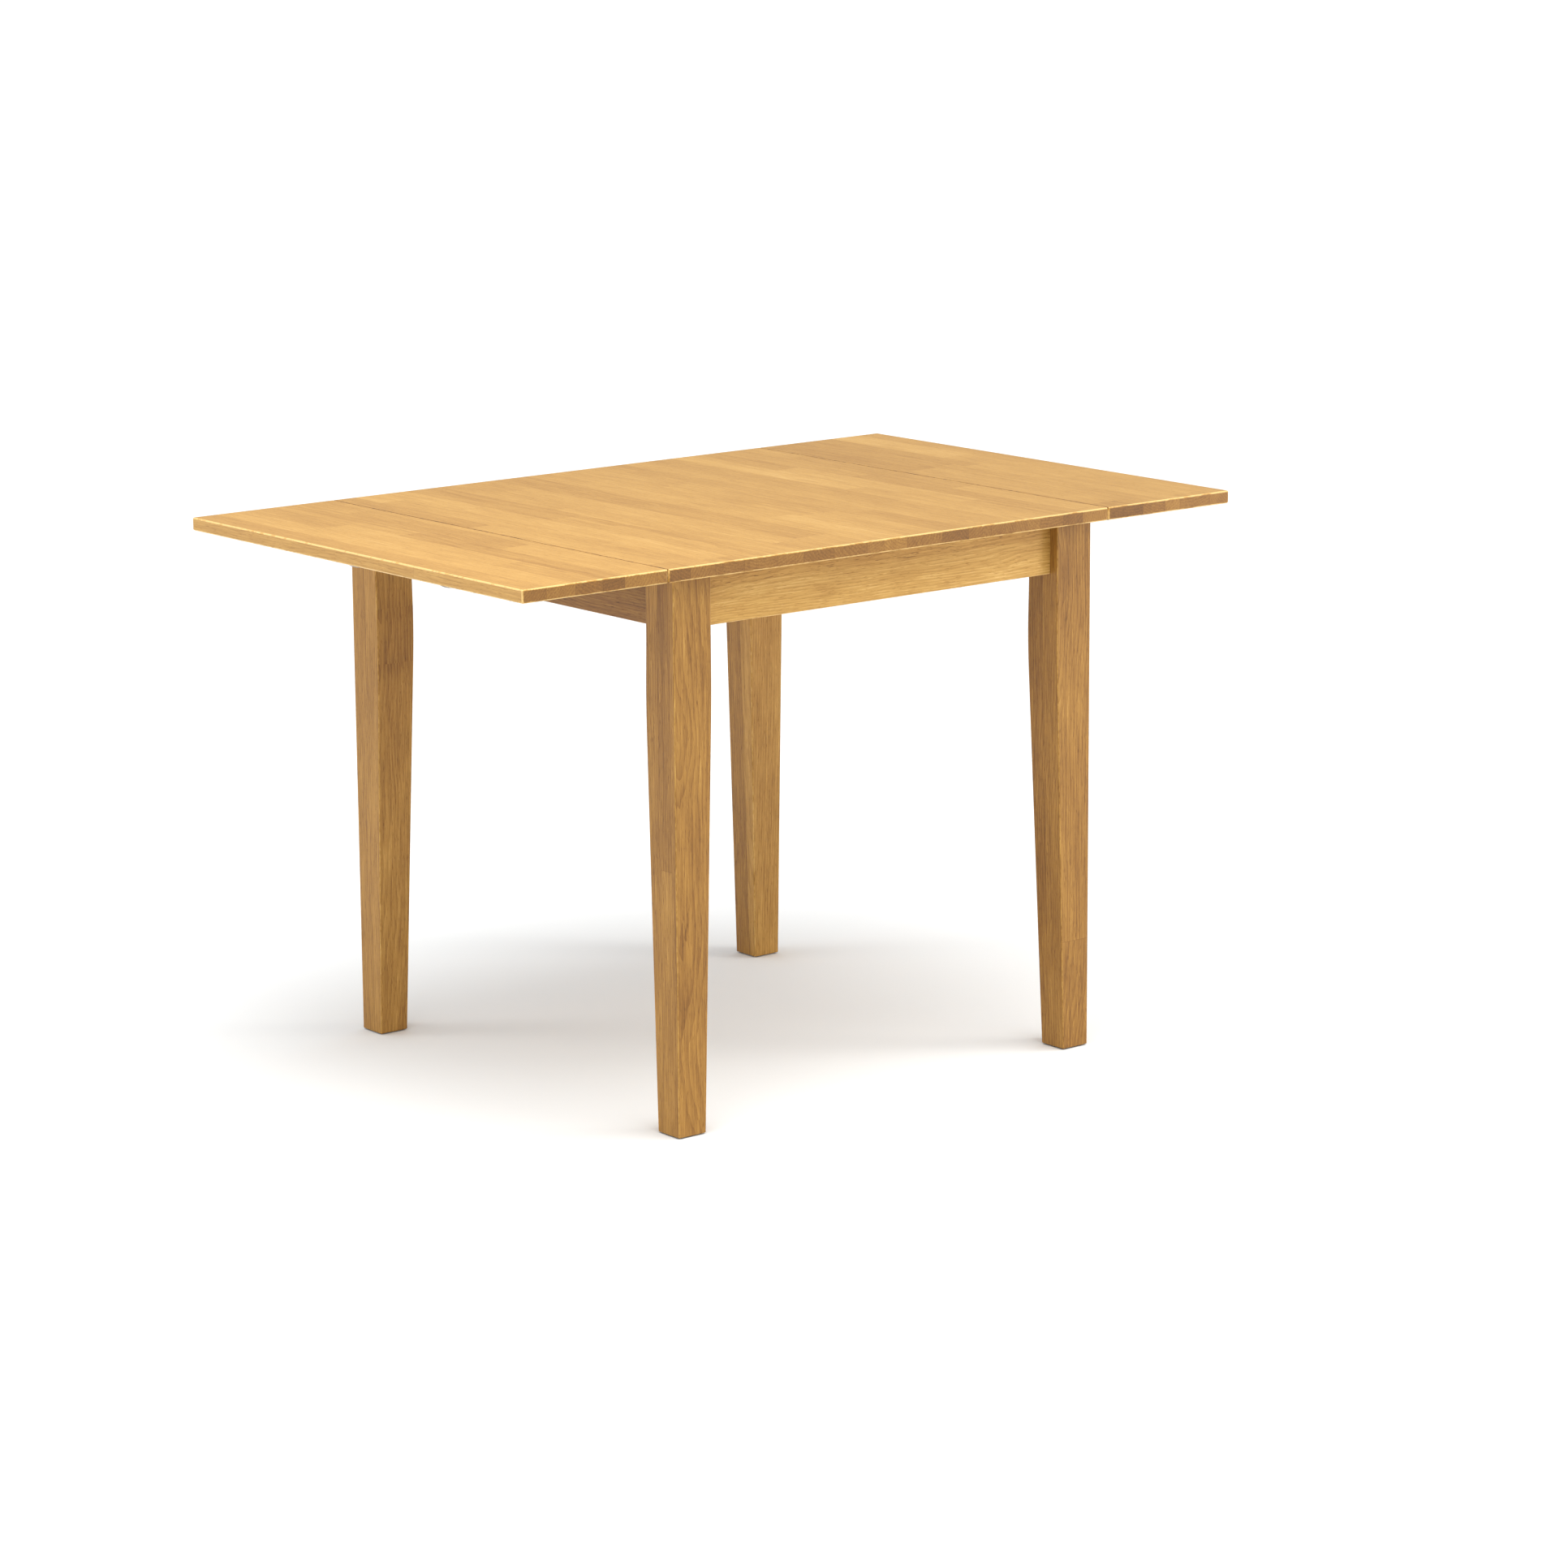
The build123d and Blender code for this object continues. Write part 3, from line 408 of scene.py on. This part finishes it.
    polish = total(tree, rough - 0.05, times(tree, fibre, 0.10),
                   times(tree, dark_pores, 0.10), times(tree, on_end, 0.10))
    tree.links.new(ramp.outputs[0], shader.inputs["Base Color"])
    tree.links.new(polish, shader.inputs["Roughness"])
    shader.inputs["Specular IOR Level"].default_value = 0.22
    shader.inputs["Coat Weight"].default_value = coat
    shader.inputs["Coat Roughness"].default_value = 0.28
    relief = total(tree, times(tree, fibre, 0.45), times(tree, dark_pores, -0.5),
                   times(tree, joint, -0.45), times(tree, cloud, 1.2))
    if saw_marks:
        strokes = total(tree, sum_of(tree, "DIVIDE", along, saw_marks), times(tree, wave, 2.0))
        stripes = sum_of(tree, "FRACT", strokes)
        relief = total(tree, relief, times(tree, stripes, 1.1))
    bump = shader_node(tree, "Bump", {"Height": relief, "Strength": 0.4, "Distance": 0.00035})
    tree.links.new(bump.outputs[0], shader.inputs["Normal"])
    return made


def dress(node_name, finish):
    """Give a CAD node this finish on every face."""
    mesh = nodes[node_name].data
    mesh.materials.clear()
    mesh.materials.append(finish)


# %% The top and the leaves
TOP_STAVE, TOP_BLOCK = 0.045, 0.42
SEAM_X = (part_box("centre_panel")[1][0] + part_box("right_leaf")[0][0]) / 2
# The top's rounded rims are made strongly paler, wear and a painted highlight along the rim; the edges at
# the seams get painted shade.
for name, seed in (("centre_panel", 4.3), ("left_leaf", 21.7), ("right_leaf", 52.1)):
    dress(name, wood_finish(name + "_wood", "Y", "X", TOP_STAVE, TOP_BLOCK, seed, tone=0.05,
                            contrast=0.85, coat=0.24, edge_wear_and_glint=0.60, seam=SEAM_X, smear=0.5))

# %% The legs
# A leg is two or three boards glued face to face, so its joints show on the end
# faces of the table and its arched grain on the long faces.
LEG_BOARD, LEG_BLOCK = 0.030, 2.6
FRAME_LOOK = dict(contrast=1.1, smear=0.75)
LEG_TONES = {"front_left": -0.16, "back_left": -0.12, "front_right": -0.13, "back_right": -0.13}
for index, (name, tone) in enumerate(LEG_TONES.items()):
    seed = 7.7 + 13.1 * index
    dress(name + "_leg", wood_finish(name + "_leg_wood", "Z", "Y", LEG_BOARD, LEG_BLOCK, seed,
                                     tone=tone, **FRAME_LOOK))

# %% The aprons
# The long aprons are two boards high: a narrow coarse strip over a plain one.
APRON_STRIP = 0.020
APRON_BOARD, APRON_BLOCK = 0.30, 1.4
APRON_SEEDS = (("front", "X", 3.1), ("back", "X", 9.4), ("left", "Y", 15.2), ("right", "Y", 31.9))
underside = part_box("front_apron")[1][2]
for name, grain, seed in APRON_SEEDS:
    strip = (underside - APRON_STRIP, underside + 0.01, -0.06) if grain == "X" else None
    # The short aprons, under the leaves, are made much darker than the long ones: painted shade from the
    # leaves above.
    tone = 0.09 if grain == "X" else -0.30
    dress(name + "_apron", wood_finish(name + "_apron_wood", grain, "Z", APRON_BOARD, APRON_BLOCK,
                                       seed, tone=tone, strip=strip, **FRAME_LOOK))

# %% Corner blocks and dowels
# These are bare wood, pale and rough. Each block is sawn across its corner, so
# its grain is turned 45 degrees, and the saw has left fine ridges on it.
BARE = dict(colours=RAW_WOOD, coat=0.0, rough=0.72, edge_wear_and_glint=0.08)
SAW_RIDGE = 0.0032
BLOCK_BOARD, BLOCK_PIECE = 0.40, 2.0
for index, name in enumerate(LEG_TONES):
    turn = math.radians(45 if name in ("front_left", "back_right") else -45)
    seed = 2.2 + 5.3 * index
    finish = wood_finish(name + "_block_wood", "X", "Z", BLOCK_BOARD, BLOCK_PIECE, seed,
                         tone=0.02, saw_marks=SAW_RIDGE, turn_z=turn, **BARE)
    dress(name + "_corner_block", finish)
dress("apron_dowels", wood_finish("dowel_wood", "X", "Z", 0.30, 1.0, 8.1, tone=0.1, **BARE))
wooden = [name for name, item in nodes.items() if "wood" in item.data.materials[0].name]
print("wood on", len(wooden), "pieces")

# %% [markdown]
# ## Steel and plastic
# Hinges, stays and clips are stamped from plated strip. Plating looks plain from
# far away and never is: the strip was rolled one way, the coat is duller in some
# places than others, and handling leaves hair scratches and bright edges. The
# feet stand on nylon buttons, which scuff pale where they rub the floor.

# %% Plated steel
ALONG_ROLLING, ACROSS_ROLLING = 40.0, 1400.0
PATCH_SCALE = (70.0, 70.0, 70.0)
SCRATCH_SCALE = (260.0, 90.0, 260.0)
SCRATCH_WIDTH = 0.006


def metal_finish(name, dull, bright, rough, rolled):
    """Plated steel. rolled is the axis letter that the strip was rolled along."""
    made = bpy.data.materials.new(name)
    made.use_nodes = True
    tree = made.node_tree
    shader = tree.nodes["Principled BSDF"]
    axes = split(tree, shader_node(tree, "TexCoord").outputs["Object"])[0:3]
    facing = split(tree, shader_node(tree, "NewGeometry").outputs["True Normal"])[0:3]
    rolling_scale = [ALONG_ROLLING if letter == rolled else ACROSS_ROLLING for letter in "XYZ"]
    rolling = noise(tree, stretched(tree, axes, rolling_scale), 3.0, 0.6)
    patches = noise(tree, stretched(tree, axes, PATCH_SCALE), 3.0, 0.6)
    crossing = noise(tree, stretched(tree, axes, SCRATCH_SCALE), 1.0, 0.5, 1.5)
    hair = fade(tree, size_of(tree, minus(tree, crossing, 0.5)), 0.0, SCRATCH_WIDTH, 1.0, 0.0)
    level = total(tree, 0.45, swing(tree, patches, 1.5), swing(tree, rolling, 0.6),
                  times(tree, hair, 0.35), times(tree, arris(tree, facing), 0.18))
    ramp = shader_node(tree, "ValToRGB", {0: level})
    ramp.color_ramp.elements[0].color = dull
    ramp.color_ramp.elements[1].color = bright
    polish = total(tree, rough, swing(tree, patches, 0.30), swing(tree, rolling, 0.16),
                   times(tree, hair, 0.12))
    tree.links.new(ramp.outputs[0], shader.inputs["Base Color"])
    tree.links.new(polish, shader.inputs["Roughness"])
    shader.inputs["Metallic"].default_value = 1.0
    relief = total(tree, times(tree, rolling, 0.5), times(tree, hair, -0.7), patches)
    bump = shader_node(tree, "Bump", {"Height": relief, "Strength": 0.30, "Distance": 0.0002})
    tree.links.new(bump.outputs[0], shader.inputs["Normal"])
    return made


hinge_plating = metal_finish("hinge_plating", (0.36, 0.27, 0.13, 1), (0.74, 0.62, 0.36, 1), 0.36, "Y")
stay_plating = metal_finish("stay_plating", (0.33, 0.33, 0.34, 1), (0.68, 0.68, 0.69, 1), 0.34, "X")
screw_plating = metal_finish("screw_plating", (0.30, 0.29, 0.27, 1), (0.66, 0.64, 0.60, 1), 0.33, "Z")
for name in nodes:
    if "hinge" in name:
        dress(name, hinge_plating)
    elif "stay" in name or name == "top_clips":
        dress(name, stay_plating)
    elif name.startswith("hanger") or name.endswith("screws"):
        dress(name, screw_plating)
plated = [name for name, item in nodes.items() if "plating" in item.data.materials[0].name]
print("plated pieces:", len(plated))


# %% Nylon glides
MOTTLE_SCALE = (400.0, 400.0, 400.0)
SCUFF_SCALE = (2200.0, 500.0, 900.0)
SCUFF_HEIGHT = 0.0012


def nylon_finish(name, deep, pale):
    """Moulded brown nylon, mottled, with pale scuffs that thicken towards the floor."""
    made = bpy.data.materials.new(name)
    made.use_nodes = True
    tree = made.node_tree
    shader = tree.nodes["Principled BSDF"]
    axes = split(tree, shader_node(tree, "TexCoord").outputs["Object"])[0:3]
    mottle = noise(tree, stretched(tree, axes, MOTTLE_SCALE), 3.0, 0.6)
    rubs = noise(tree, stretched(tree, axes, SCUFF_SCALE), 3.0, 0.7, 1.0)
    near_floor = fade(tree, axes[2], 0.0, SCUFF_HEIGHT, 1.0, 0.15)
    scuffs = times(tree, fade(tree, rubs, 0.52, 0.66), near_floor)
    level = total(tree, 0.25, swing(tree, mottle, 0.8), times(tree, scuffs, 0.6))
    ramp = shader_node(tree, "ValToRGB", {0: level})
    ramp.color_ramp.elements[0].color = deep
    ramp.color_ramp.elements[1].color = pale
    tree.links.new(ramp.outputs[0], shader.inputs["Base Color"])
    polish = total(tree, 0.46, swing(tree, mottle, 0.2), times(tree, scuffs, 0.25))
    tree.links.new(polish, shader.inputs["Roughness"])
    bump = shader_node(tree, "Bump", {"Height": total(tree, mottle, times(tree, scuffs, 0.5)),
                                      "Strength": 0.3, "Distance": 0.0002})
    tree.links.new(bump.outputs[0], shader.inputs["Normal"])
    return made


dress("leg_glides", nylon_finish("glide_nylon", (0.030, 0.017, 0.010, 1), (0.210, 0.150, 0.105, 1)))

# %% [markdown]
# ## Screws, bolts, nuts and washers
# Over a hundred fasteners hold the table together, of five kinds. Each kind is
# one small Geometry Nodes tree with its sizes as named inputs, in millimetres.
# The tree makes one fastener out of turned parts, cuts its recess or its bore,
# winds a thread round it, and sets a copy on every point that it is given. The
# points come from the CAD node that the fasteners stand for: each loose shell
# in that node gives one place and one direction. The result is made real and
# turned into a plain mesh, so that nothing depends on the tree afterwards.

# %% Places of the fasteners
MILLIMETRE = 0.001
WELD = 0.001 * MILLIMETRE
END_SLICE = 0.3 * MILLIMETRE


def shells(node_name):
    """The corner points of each separate solid in a CAD node."""
    merged = bmesh.new()
    merged.from_mesh(nodes[node_name].data)
    bmesh.ops.remove_doubles(merged, verts=merged.verts, dist=WELD)
    unseen = set(merged.verts)
    found = []
    while unseen:
        edge_of_shell = [unseen.pop()]
        shell = []
        while edge_of_shell:
            corner = edge_of_shell.pop()
            shell.append(tuple(corner.co))
            for edge in corner.link_edges:
                other = edge.other_vert(corner)
                if other in unseen:
                    unseen.remove(other)
                    edge_of_shell.append(other)
        found.append(np.array(shell))
    merged.free()
    return sorted(found, key=lambda points: tuple(points.mean(0).round(4)))


def screw_places(node_name):
    """For each screw: the middle of its head's outer face, its direction and its length."""
    places = []
    for points in shells(node_name):
        middle = points.mean(0)
        direction = np.linalg.svd(points - middle)[2][0]
        heights = (points - middle) @ direction
        widths = np.linalg.norm(points - middle - np.outer(heights, direction), axis=1)
        far_width = widths[heights > heights.max() - END_SLICE].max()
        near_width = widths[heights < heights.min() + END_SLICE].max()
        if far_width > near_width:
            direction, heights = -direction, -heights
        places.append((middle + direction * heights.min(), direction, float(np.ptp(heights))))
    return places


def points_object(name, places):
    """A mesh of one point for each place, which carries the turn that its fastener needs."""
    mesh = bpy.data.meshes.new(name)
    mesh.from_pydata([tuple(place) for place, direction in places], [], [])
    turns = mesh.attributes.new("turn", "FLOAT_VECTOR", "POINT")
    for index, (place, direction) in enumerate(places):
        upright = Vector((0, 0, 1)).rotation_difference(Vector(direction))
        turns.data[index].vector = upright.to_euler()
    return add_object(name, mesh)


# %% Helpers for the fastener trees
def fastener_tree(name, sizes):
    """A tree with a points input, named sizes, a seed and a finish. Returns it and its inputs."""
    tree = bpy.data.node_groups.new(name, "GeometryNodeTree")
    tree.interface.new_socket("Points", in_out="INPUT", socket_type="NodeSocketGeometry")
    for title, value in sizes.items():
        size = tree.interface.new_socket(title, in_out="INPUT", socket_type="NodeSocketFloat")
        size.default_value = value
    tree.interface.new_socket("Seed", in_out="INPUT", socket_type="NodeSocketInt").default_value = 1
    tree.interface.new_socket("Finish", in_out="INPUT", socket_type="NodeSocketMaterial")
    tree.interface.new_socket("Fasteners", in_out="OUTPUT", socket_type="NodeSocketGeometry")
    return tree, any_node(tree, "NodeGroupInput").outputs


def lifted(tree, mesh, height):
    """The mesh moved up by a height."""
    lift = shader_node(tree, "CombineXYZ", {2: height}).outputs[0]
    return any_node(tree, "GeometryNodeTransform", {"Geometry": mesh, "Translation": lift}).outputs[0]


def turned_cone(tree, start, length, bottom, top, sides=24):
    """A cone with flat ends, from the height start."""
    sizes = {"Vertices": sides, "Radius Top": top, "Radius Bottom": bottom, "Depth": length}
    return lifted(tree, any_node(tree, "GeometryNodeMeshCone", sizes).outputs["Mesh"], start)


def box_at(tree, width, breadth, depth, height):
    """A block of these sizes whose middle is at a height."""
    size = shader_node(tree, "CombineXYZ", {0: width, 1: breadth, 2: depth}).outputs[0]
    return lifted(tree, any_node(tree, "GeometryNodeMeshCube", {"Size": size}).outputs["Mesh"], height)


def cut(tree, operation, meshes, first=None):
    """A boolean of some meshes: all of them joined, or cut from the first."""
    inputs = {1: meshes} if first is None else {0: first, 1: meshes}
    return any_node(tree, "GeometryNodeMeshBoolean", inputs, operation=operation, solver="EXACT").outputs[0]


def wound_thread(tree, start, length, radius, pitch, depth):
    """A ridge that winds up round a shank."""
    turns = sum_of(tree, "DIVIDE", length, pitch)
    winding = {"Resolution": 16, "Rotations": turns, "Start Radius": radius,
               "End Radius": radius, "Height": length}
    helix = any_node(tree, "GeometryNodeCurveSpiral", winding).outputs[0]
    ridge = any_node(tree, "GeometryNodeCurvePrimitiveCircle", {"Resolution": 3, "Radius": depth}).outputs[0]
    thread = any_node(tree, "GeometryNodeCurveToMesh", {"Curve": helix, "Profile Curve": ridge,
                                                        "Fill Caps": True}).outputs[0]
    return lifted(tree, thread, start)


def close_tree(tree, given, parts):
    """Set one fastener on every point, with its own spin, and finish the tree."""
    one = any_node(tree, "GeometryNodeJoinGeometry", {0: parts}).outputs[0]
    attribute = any_node(tree, "GeometryNodeInputNamedAttribute", {"Name": "turn"},
                         data_type="FLOAT_VECTOR").outputs[0]
    turn = any_node(tree, "FunctionNodeEulerToRotation", {0: attribute}).outputs[0]
    chance = any_node(tree, "FunctionNodeRandomValue", {3: 2 * math.pi, "Seed": given["Seed"]},
                      data_type="FLOAT")
    spin = any_node(tree, "FunctionNodeAxisAngleToRotation", {0: (0, 0, 1), 1: chance.outputs[1]}).outputs[0]
    both = any_node(tree, "FunctionNodeRotateRotation", {0: turn, 1: spin},
                    rotation_space="LOCAL").outputs[0]
    points = any_node(tree, "GeometryNodeMeshToPoints", {"Mesh": given["Points"]}).outputs[0]
    setting = {"Points": points, "Instance": one, "Rotation": both, "Scale": (MILLIMETRE,) * 3}
    copies = any_node(tree, "GeometryNodeInstanceOnPoints", setting).outputs[0]
    real = any_node(tree, "GeometryNodeRealizeInstances", {0: copies}).outputs[0]
    dressed = any_node(tree, "GeometryNodeSetMaterial", {0: real, "Material": given["Finish"]}).outputs[0]
    any_node(tree, "NodeGroupOutput", {0: dressed})
    return tree


# %% A cross-head wood screw, countersunk or pan head
# A fastener's parts run a little into each other, so that they join into one.
SCREW_SIZES = {"Head radius": 3.3, "Head height": 1.55, "Shank radius": 1.75, "Length": 14.0,
               "Thread pitch": 1.5, "Recess width": 3.2, "Recess depth": 1.1}
CORE = 0.72
POINT_LENGTH = 2.2
POINT_RADIUS = 0.08
NECK = 1.2
OVERLAP = 0.3
SMALL_OVERLAP = 0.2
SLOT_SHARE = 0.27
DOME_SHARE = 1.3
THREAD_STOP = 1.6


def screw_tree(name, pan):
    """The screw's head is at the point, and its shank runs up +Z."""
    tree, given = fastener_tree(name, SCREW_SIZES)
    head_radius, head_height = given["Head radius"], given["Head height"]
    shank = given["Shank radius"]
    core = times(tree, shank, CORE)
    shank_end = minus(tree, given["Length"], POINT_LENGTH)
    if pan:
        round_ball = {"Segments": 32, "Rings": 16, "Radius": 1.0}
        dome = any_node(tree, "GeometryNodeMeshUVSphere", round_ball).outputs[0]
        tall = times(tree, head_height, DOME_SHARE)
        bulge = shader_node(tree, "CombineXYZ", {0: head_radius, 1: head_radius, 2: tall}).outputs[0]
        dome = any_node(tree, "GeometryNodeTransform", {"Geometry": dome, "Scale": bulge}).outputs[0]
        wide = times(tree, head_radius, 3.0)
        slab = box_at(tree, wide, wide, head_height, times(tree, head_height, -0.5))
        head = cut(tree, "INTERSECT", [dome, slab])
        face = times(tree, head_height, -1.0)
        plain_end = 0.0
    else:
        head = turned_cone(tree, 0.0, head_height, head_radius, shank, 32)
        face = 0.0
        plain_end = head_height
    neck = turned_cone(tree, minus(tree, plain_end, OVERLAP), NECK, shank, core)
    rod = turned_cone(tree, minus(tree, plain_end, SMALL_OVERLAP),
                      minus(tree, shank_end, plain_end), core, core)
    tip = turned_cone(tree, minus(tree, shank_end, OVERLAP), POINT_LENGTH + OVERLAP, core, POINT_RADIUS)
    body = cut(tree, "UNION", [head, neck, rod, tip])
    slot_breadth = times(tree, given["Recess width"], SLOT_SHARE)
    deep = times(tree, given["Recess depth"], 2.0)
    arms = [box_at(tree, given["Recess width"], slot_breadth, deep, face),
            box_at(tree, slot_breadth, given["Recess width"], deep, face)]
    body = cut(tree, "DIFFERENCE", arms, body)
    thread_length = total(tree, shank_end, times(tree, plain_end, -1.0), -THREAD_STOP)
    thread_depth = times(tree, shank, 1.0 - CORE)
    thread = wound_thread(tree, sum_of(tree, "ADD", plain_end, NECK), thread_length, core,
                          given["Thread pitch"], thread_depth)
    return close_tree(tree, given, [body, thread])


countersunk = screw_tree("countersunk_screw", pan=False)
pan_head = screw_tree("pan_head_screw", pan=True)
print("screw trees hold", len(countersunk.nodes), "and", len(pan_head.nodes), "nodes")

# %% A hanger bolt, its nut and its washer
# A hanger bolt has a coarse wood thread at one end and a machine thread at the
# other, and is driven into the leg. The nut draws the corner block towards it.
BOLT_SIZES = {"Radius": 4.0, "Length": 74.0, "Wood end": 30.0, "Machine thread": 24.0,
              "Wood pitch": 3.0, "Machine pitch": 1.25}
NUT_SIZES = {"Flat radius": 6.5, "Thickness": 6.5, "Bore radius": 3.75}
WASHER_SIZES = {"Radius": 10.0, "Bore radius": 4.5, "Thickness": 1.6}
MACHINE_CORE = 0.86
TIP_LENGTH = 5.0
TIP_RADIUS = 0.6
THREAD_START = 4.0
THREAD_SHORT = 6.0
END_CHAMFER = 1.1


def bolt_tree():
    """The bolt starts at its wood end and runs up +Z."""
    tree, given = fastener_tree("hanger_bolt", BOLT_SIZES)
    radius, length, wood_end = given["Radius"], given["Length"], given["Wood end"]
    wood_core, steel_core = times(tree, radius, CORE), times(tree, radius, MACHINE_CORE)
    machine_start = minus(tree, length, given["Machine thread"])
    tip = turned_cone(tree, 0.0, TIP_LENGTH, TIP_RADIUS, wood_core)
    rod_start = TIP_LENGTH - SMALL_OVERLAP
    wood_rod = turned_cone(tree, rod_start, minus(tree, wood_end, rod_start), wood_core, wood_core)
    plain = turned_cone(tree, minus(tree, wood_end, SMALL_OVERLAP),
                        minus(tree, machine_start, wood_end), radius, radius)
    steel_rod = turned_cone(tree, minus(tree, machine_start, 0.6),
                            minus(tree, given["Machine thread"], 0.4), steel_core, steel_core)
    end = turned_cone(tree, minus(tree, length, END_CHAMFER), END_CHAMFER, steel_core,
                      times(tree, steel_core, 0.8))
    body = cut(tree, "UNION", [tip, wood_rod, plain, steel_rod, end])
    coarse = wound_thread(tree, THREAD_START, minus(tree, wood_end, THREAD_SHORT), wood_core,
                          given["Wood pitch"], times(tree, radius, 1.0 - CORE))
    fine = wound_thread(tree, machine_start, minus(tree, given["Machine thread"], THREAD_STOP), steel_core,
                        given["Machine pitch"], times(tree, radius, 1.0 - MACHINE_CORE))
    return close_tree(tree, given, [body, coarse, fine])


def nut_tree():
    """A hexagon with rounded-over corners and a bore, centred on its place."""
    tree, given = fastener_tree("hex_nut", NUT_SIZES)
    flat, thick = given["Flat radius"], given["Thickness"]
    corner = times(tree, flat, 1 / math.cos(math.pi / 6))
    low = times(tree, thick, -0.5)
    prism = turned_cone(tree, low, thick, corner, corner, 6)
    rounding = {"Segments": 48, "Rings": 24, "Radius": times(tree, flat, 1.17)}
    ball = any_node(tree, "GeometryNodeMeshUVSphere", rounding).outputs[0]
    rounded = cut(tree, "INTERSECT", [prism, ball])
    bore_radius = given["Bore radius"]
    bore = turned_cone(tree, times(tree, thick, -1.0), times(tree, thick, 2.0), bore_radius, bore_radius)
    lead = times(tree, bore_radius, 1.22)
    lead_in = turned_cone(tree, times(tree, thick, 0.40), times(tree, thick, 0.2), bore_radius, lead)
    return close_tree(tree, given, [cut(tree, "DIFFERENCE", [bore, lead_in], rounded)])


def washer_tree():
    """A flat ring with its outer edges broken, centred on its place."""
    tree, given = fastener_tree("flat_washer", WASHER_SIZES)
    radius, bore, thick = given["Radius"], given["Bore radius"], given["Thickness"]
    rim = times(tree, radius, 0.96)
    lower = turned_cone(tree, times(tree, thick, -0.5), times(tree, thick, 0.25), rim, radius, 40)
    middle = turned_cone(tree, times(tree, thick, -0.26), times(tree, thick, 0.52), radius, radius, 40)
    upper = turned_cone(tree, times(tree, thick, 0.25), times(tree, thick, 0.25), radius, rim, 40)
    disc = cut(tree, "UNION", [lower, middle, upper])
    hole = turned_cone(tree, times(tree, thick, -1.0), times(tree, thick, 2.0), bore, bore, 32)
    return close_tree(tree, given, [cut(tree, "DIFFERENCE", [hole], disc)])


hanger_bolt, hex_nut, flat_washer = bolt_tree(), nut_tree(), washer_tree()


# %% Set the fasteners and make them plain meshes
SMOOTH_BELOW = math.radians(38)


def run_tree(tree, places, sizes, seed):
    """The plain mesh that a fastener tree makes at these places."""
    holder = points_object("holder", places)
    modifier = holder.modifiers.new("fasteners", "NODES")
    modifier.node_group = tree
    wanted = dict(sizes, Seed=seed, Finish=screw_plating)
    for item in tree.interface.items_tree:
        if item.in_out == "INPUT" and item.name in wanted:
            modifier[item.identifier] = wanted[item.name]
    settled = holder.evaluated_get(bpy.context.evaluated_depsgraph_get())
    mesh = bpy.data.meshes.new_from_object(settled)
    holder.modifiers.clear()
    bpy.data.objects.remove(holder)
    return mesh


def fastener_piece(node_name, body, meshes):
    """One piece out of these meshes, which stands for a CAD node and rides on a body."""
    joined = bmesh.new()
    for mesh in meshes:
        joined.from_mesh(mesh)
    plain = bpy.data.meshes.new(node_name + "_detail")
    joined.to_mesh(plain)
    joined.free()
    plain.materials.append(screw_plating)
    plain.shade_smooth()
    plain.set_sharp_from_angle(angle=SMOOTH_BELOW)
    piece = add_object(node_name + "_detail", plain)
    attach(piece, body)
    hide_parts(node_name)
    print(node_name, "has", len(plain.polygons), "faces")


LONGEST_SHORT_SCREW = 0.020
PAN_HEIGHT = 2.6
PAN_SIZES = {"Head radius": 4.0, "Head height": PAN_HEIGHT, "Thread pitch": 1.8,
             "Recess width": 3.8, "Recess depth": 1.4}
SCREW_BODIES = {
    "centre_hinge_screws": "table_frame",
    "stay_plate_screws": "table_frame",
    "top_screws": "table_frame",
    "corner_block_screws": "table_frame",
    "left_leaf_hinge_screws": "left_leaf",
    "left_leaf_track_screws": "left_leaf",
    "right_leaf_hinge_screws": "right_leaf",
    "right_leaf_track_screws": "right_leaf",
}
for seed, (node_name, body) in enumerate(SCREW_BODIES.items()):
    found = screw_places(node_name)
    short = [(place, direction) for place, direction, length in found if length < LONGEST_SHORT_SCREW]
    long = [item for item in found if item[2] >= LONGEST_SHORT_SCREW]
    meshes = [run_tree(countersunk, short, {}, seed)] if short else []
    if long:
        shank_length = long[0][2] / MILLIMETRE - PAN_HEIGHT
        seats = [(place + direction * PAN_HEIGHT * MILLIMETRE, direction)
                 for place, direction, length in long]
        meshes.append(run_tree(pan_head, seats, dict(PAN_SIZES, Length=shank_length), seed))
    fastener_piece(node_name, body, meshes)

# %% Bolts, nuts and washers
bolts = []
for points in shells("hanger_bolts"):
    middle = points.mean(0)
    direction = np.linalg.svd(points - middle)[2][0]
    direction = direction if direction @ np.array((middle[0], middle[1], 0)) < 0 else -direction
    heights = (points - middle) @ direction
    bolts.append((middle + direction * heights.min(), direction))


def along_bolts(node_name):
    """The middle of each shell in a node, with the direction of the bolt that it is on."""
    places = []
    for points in shells(node_name):
        middle = (points.max(0) + points.min(0)) / 2
        nearest = min(bolts, key=lambda bolt: np.linalg.norm(np.cross(middle - bolt[0], bolt[1])))
        places.append((middle, nearest[1]))
    return places


nut_places, washer_places = along_bolts("hanger_nuts"), along_bolts("hanger_washers")
fastener_piece("hanger_bolts", "table_frame", [run_tree(hanger_bolt, bolts, {}, 11)])
fastener_piece("hanger_nuts", "table_frame", [run_tree(hex_nut, nut_places, {}, 12)])
fastener_piece("hanger_washers", "table_frame", [run_tree(flat_washer, washer_places, {}, 13)])
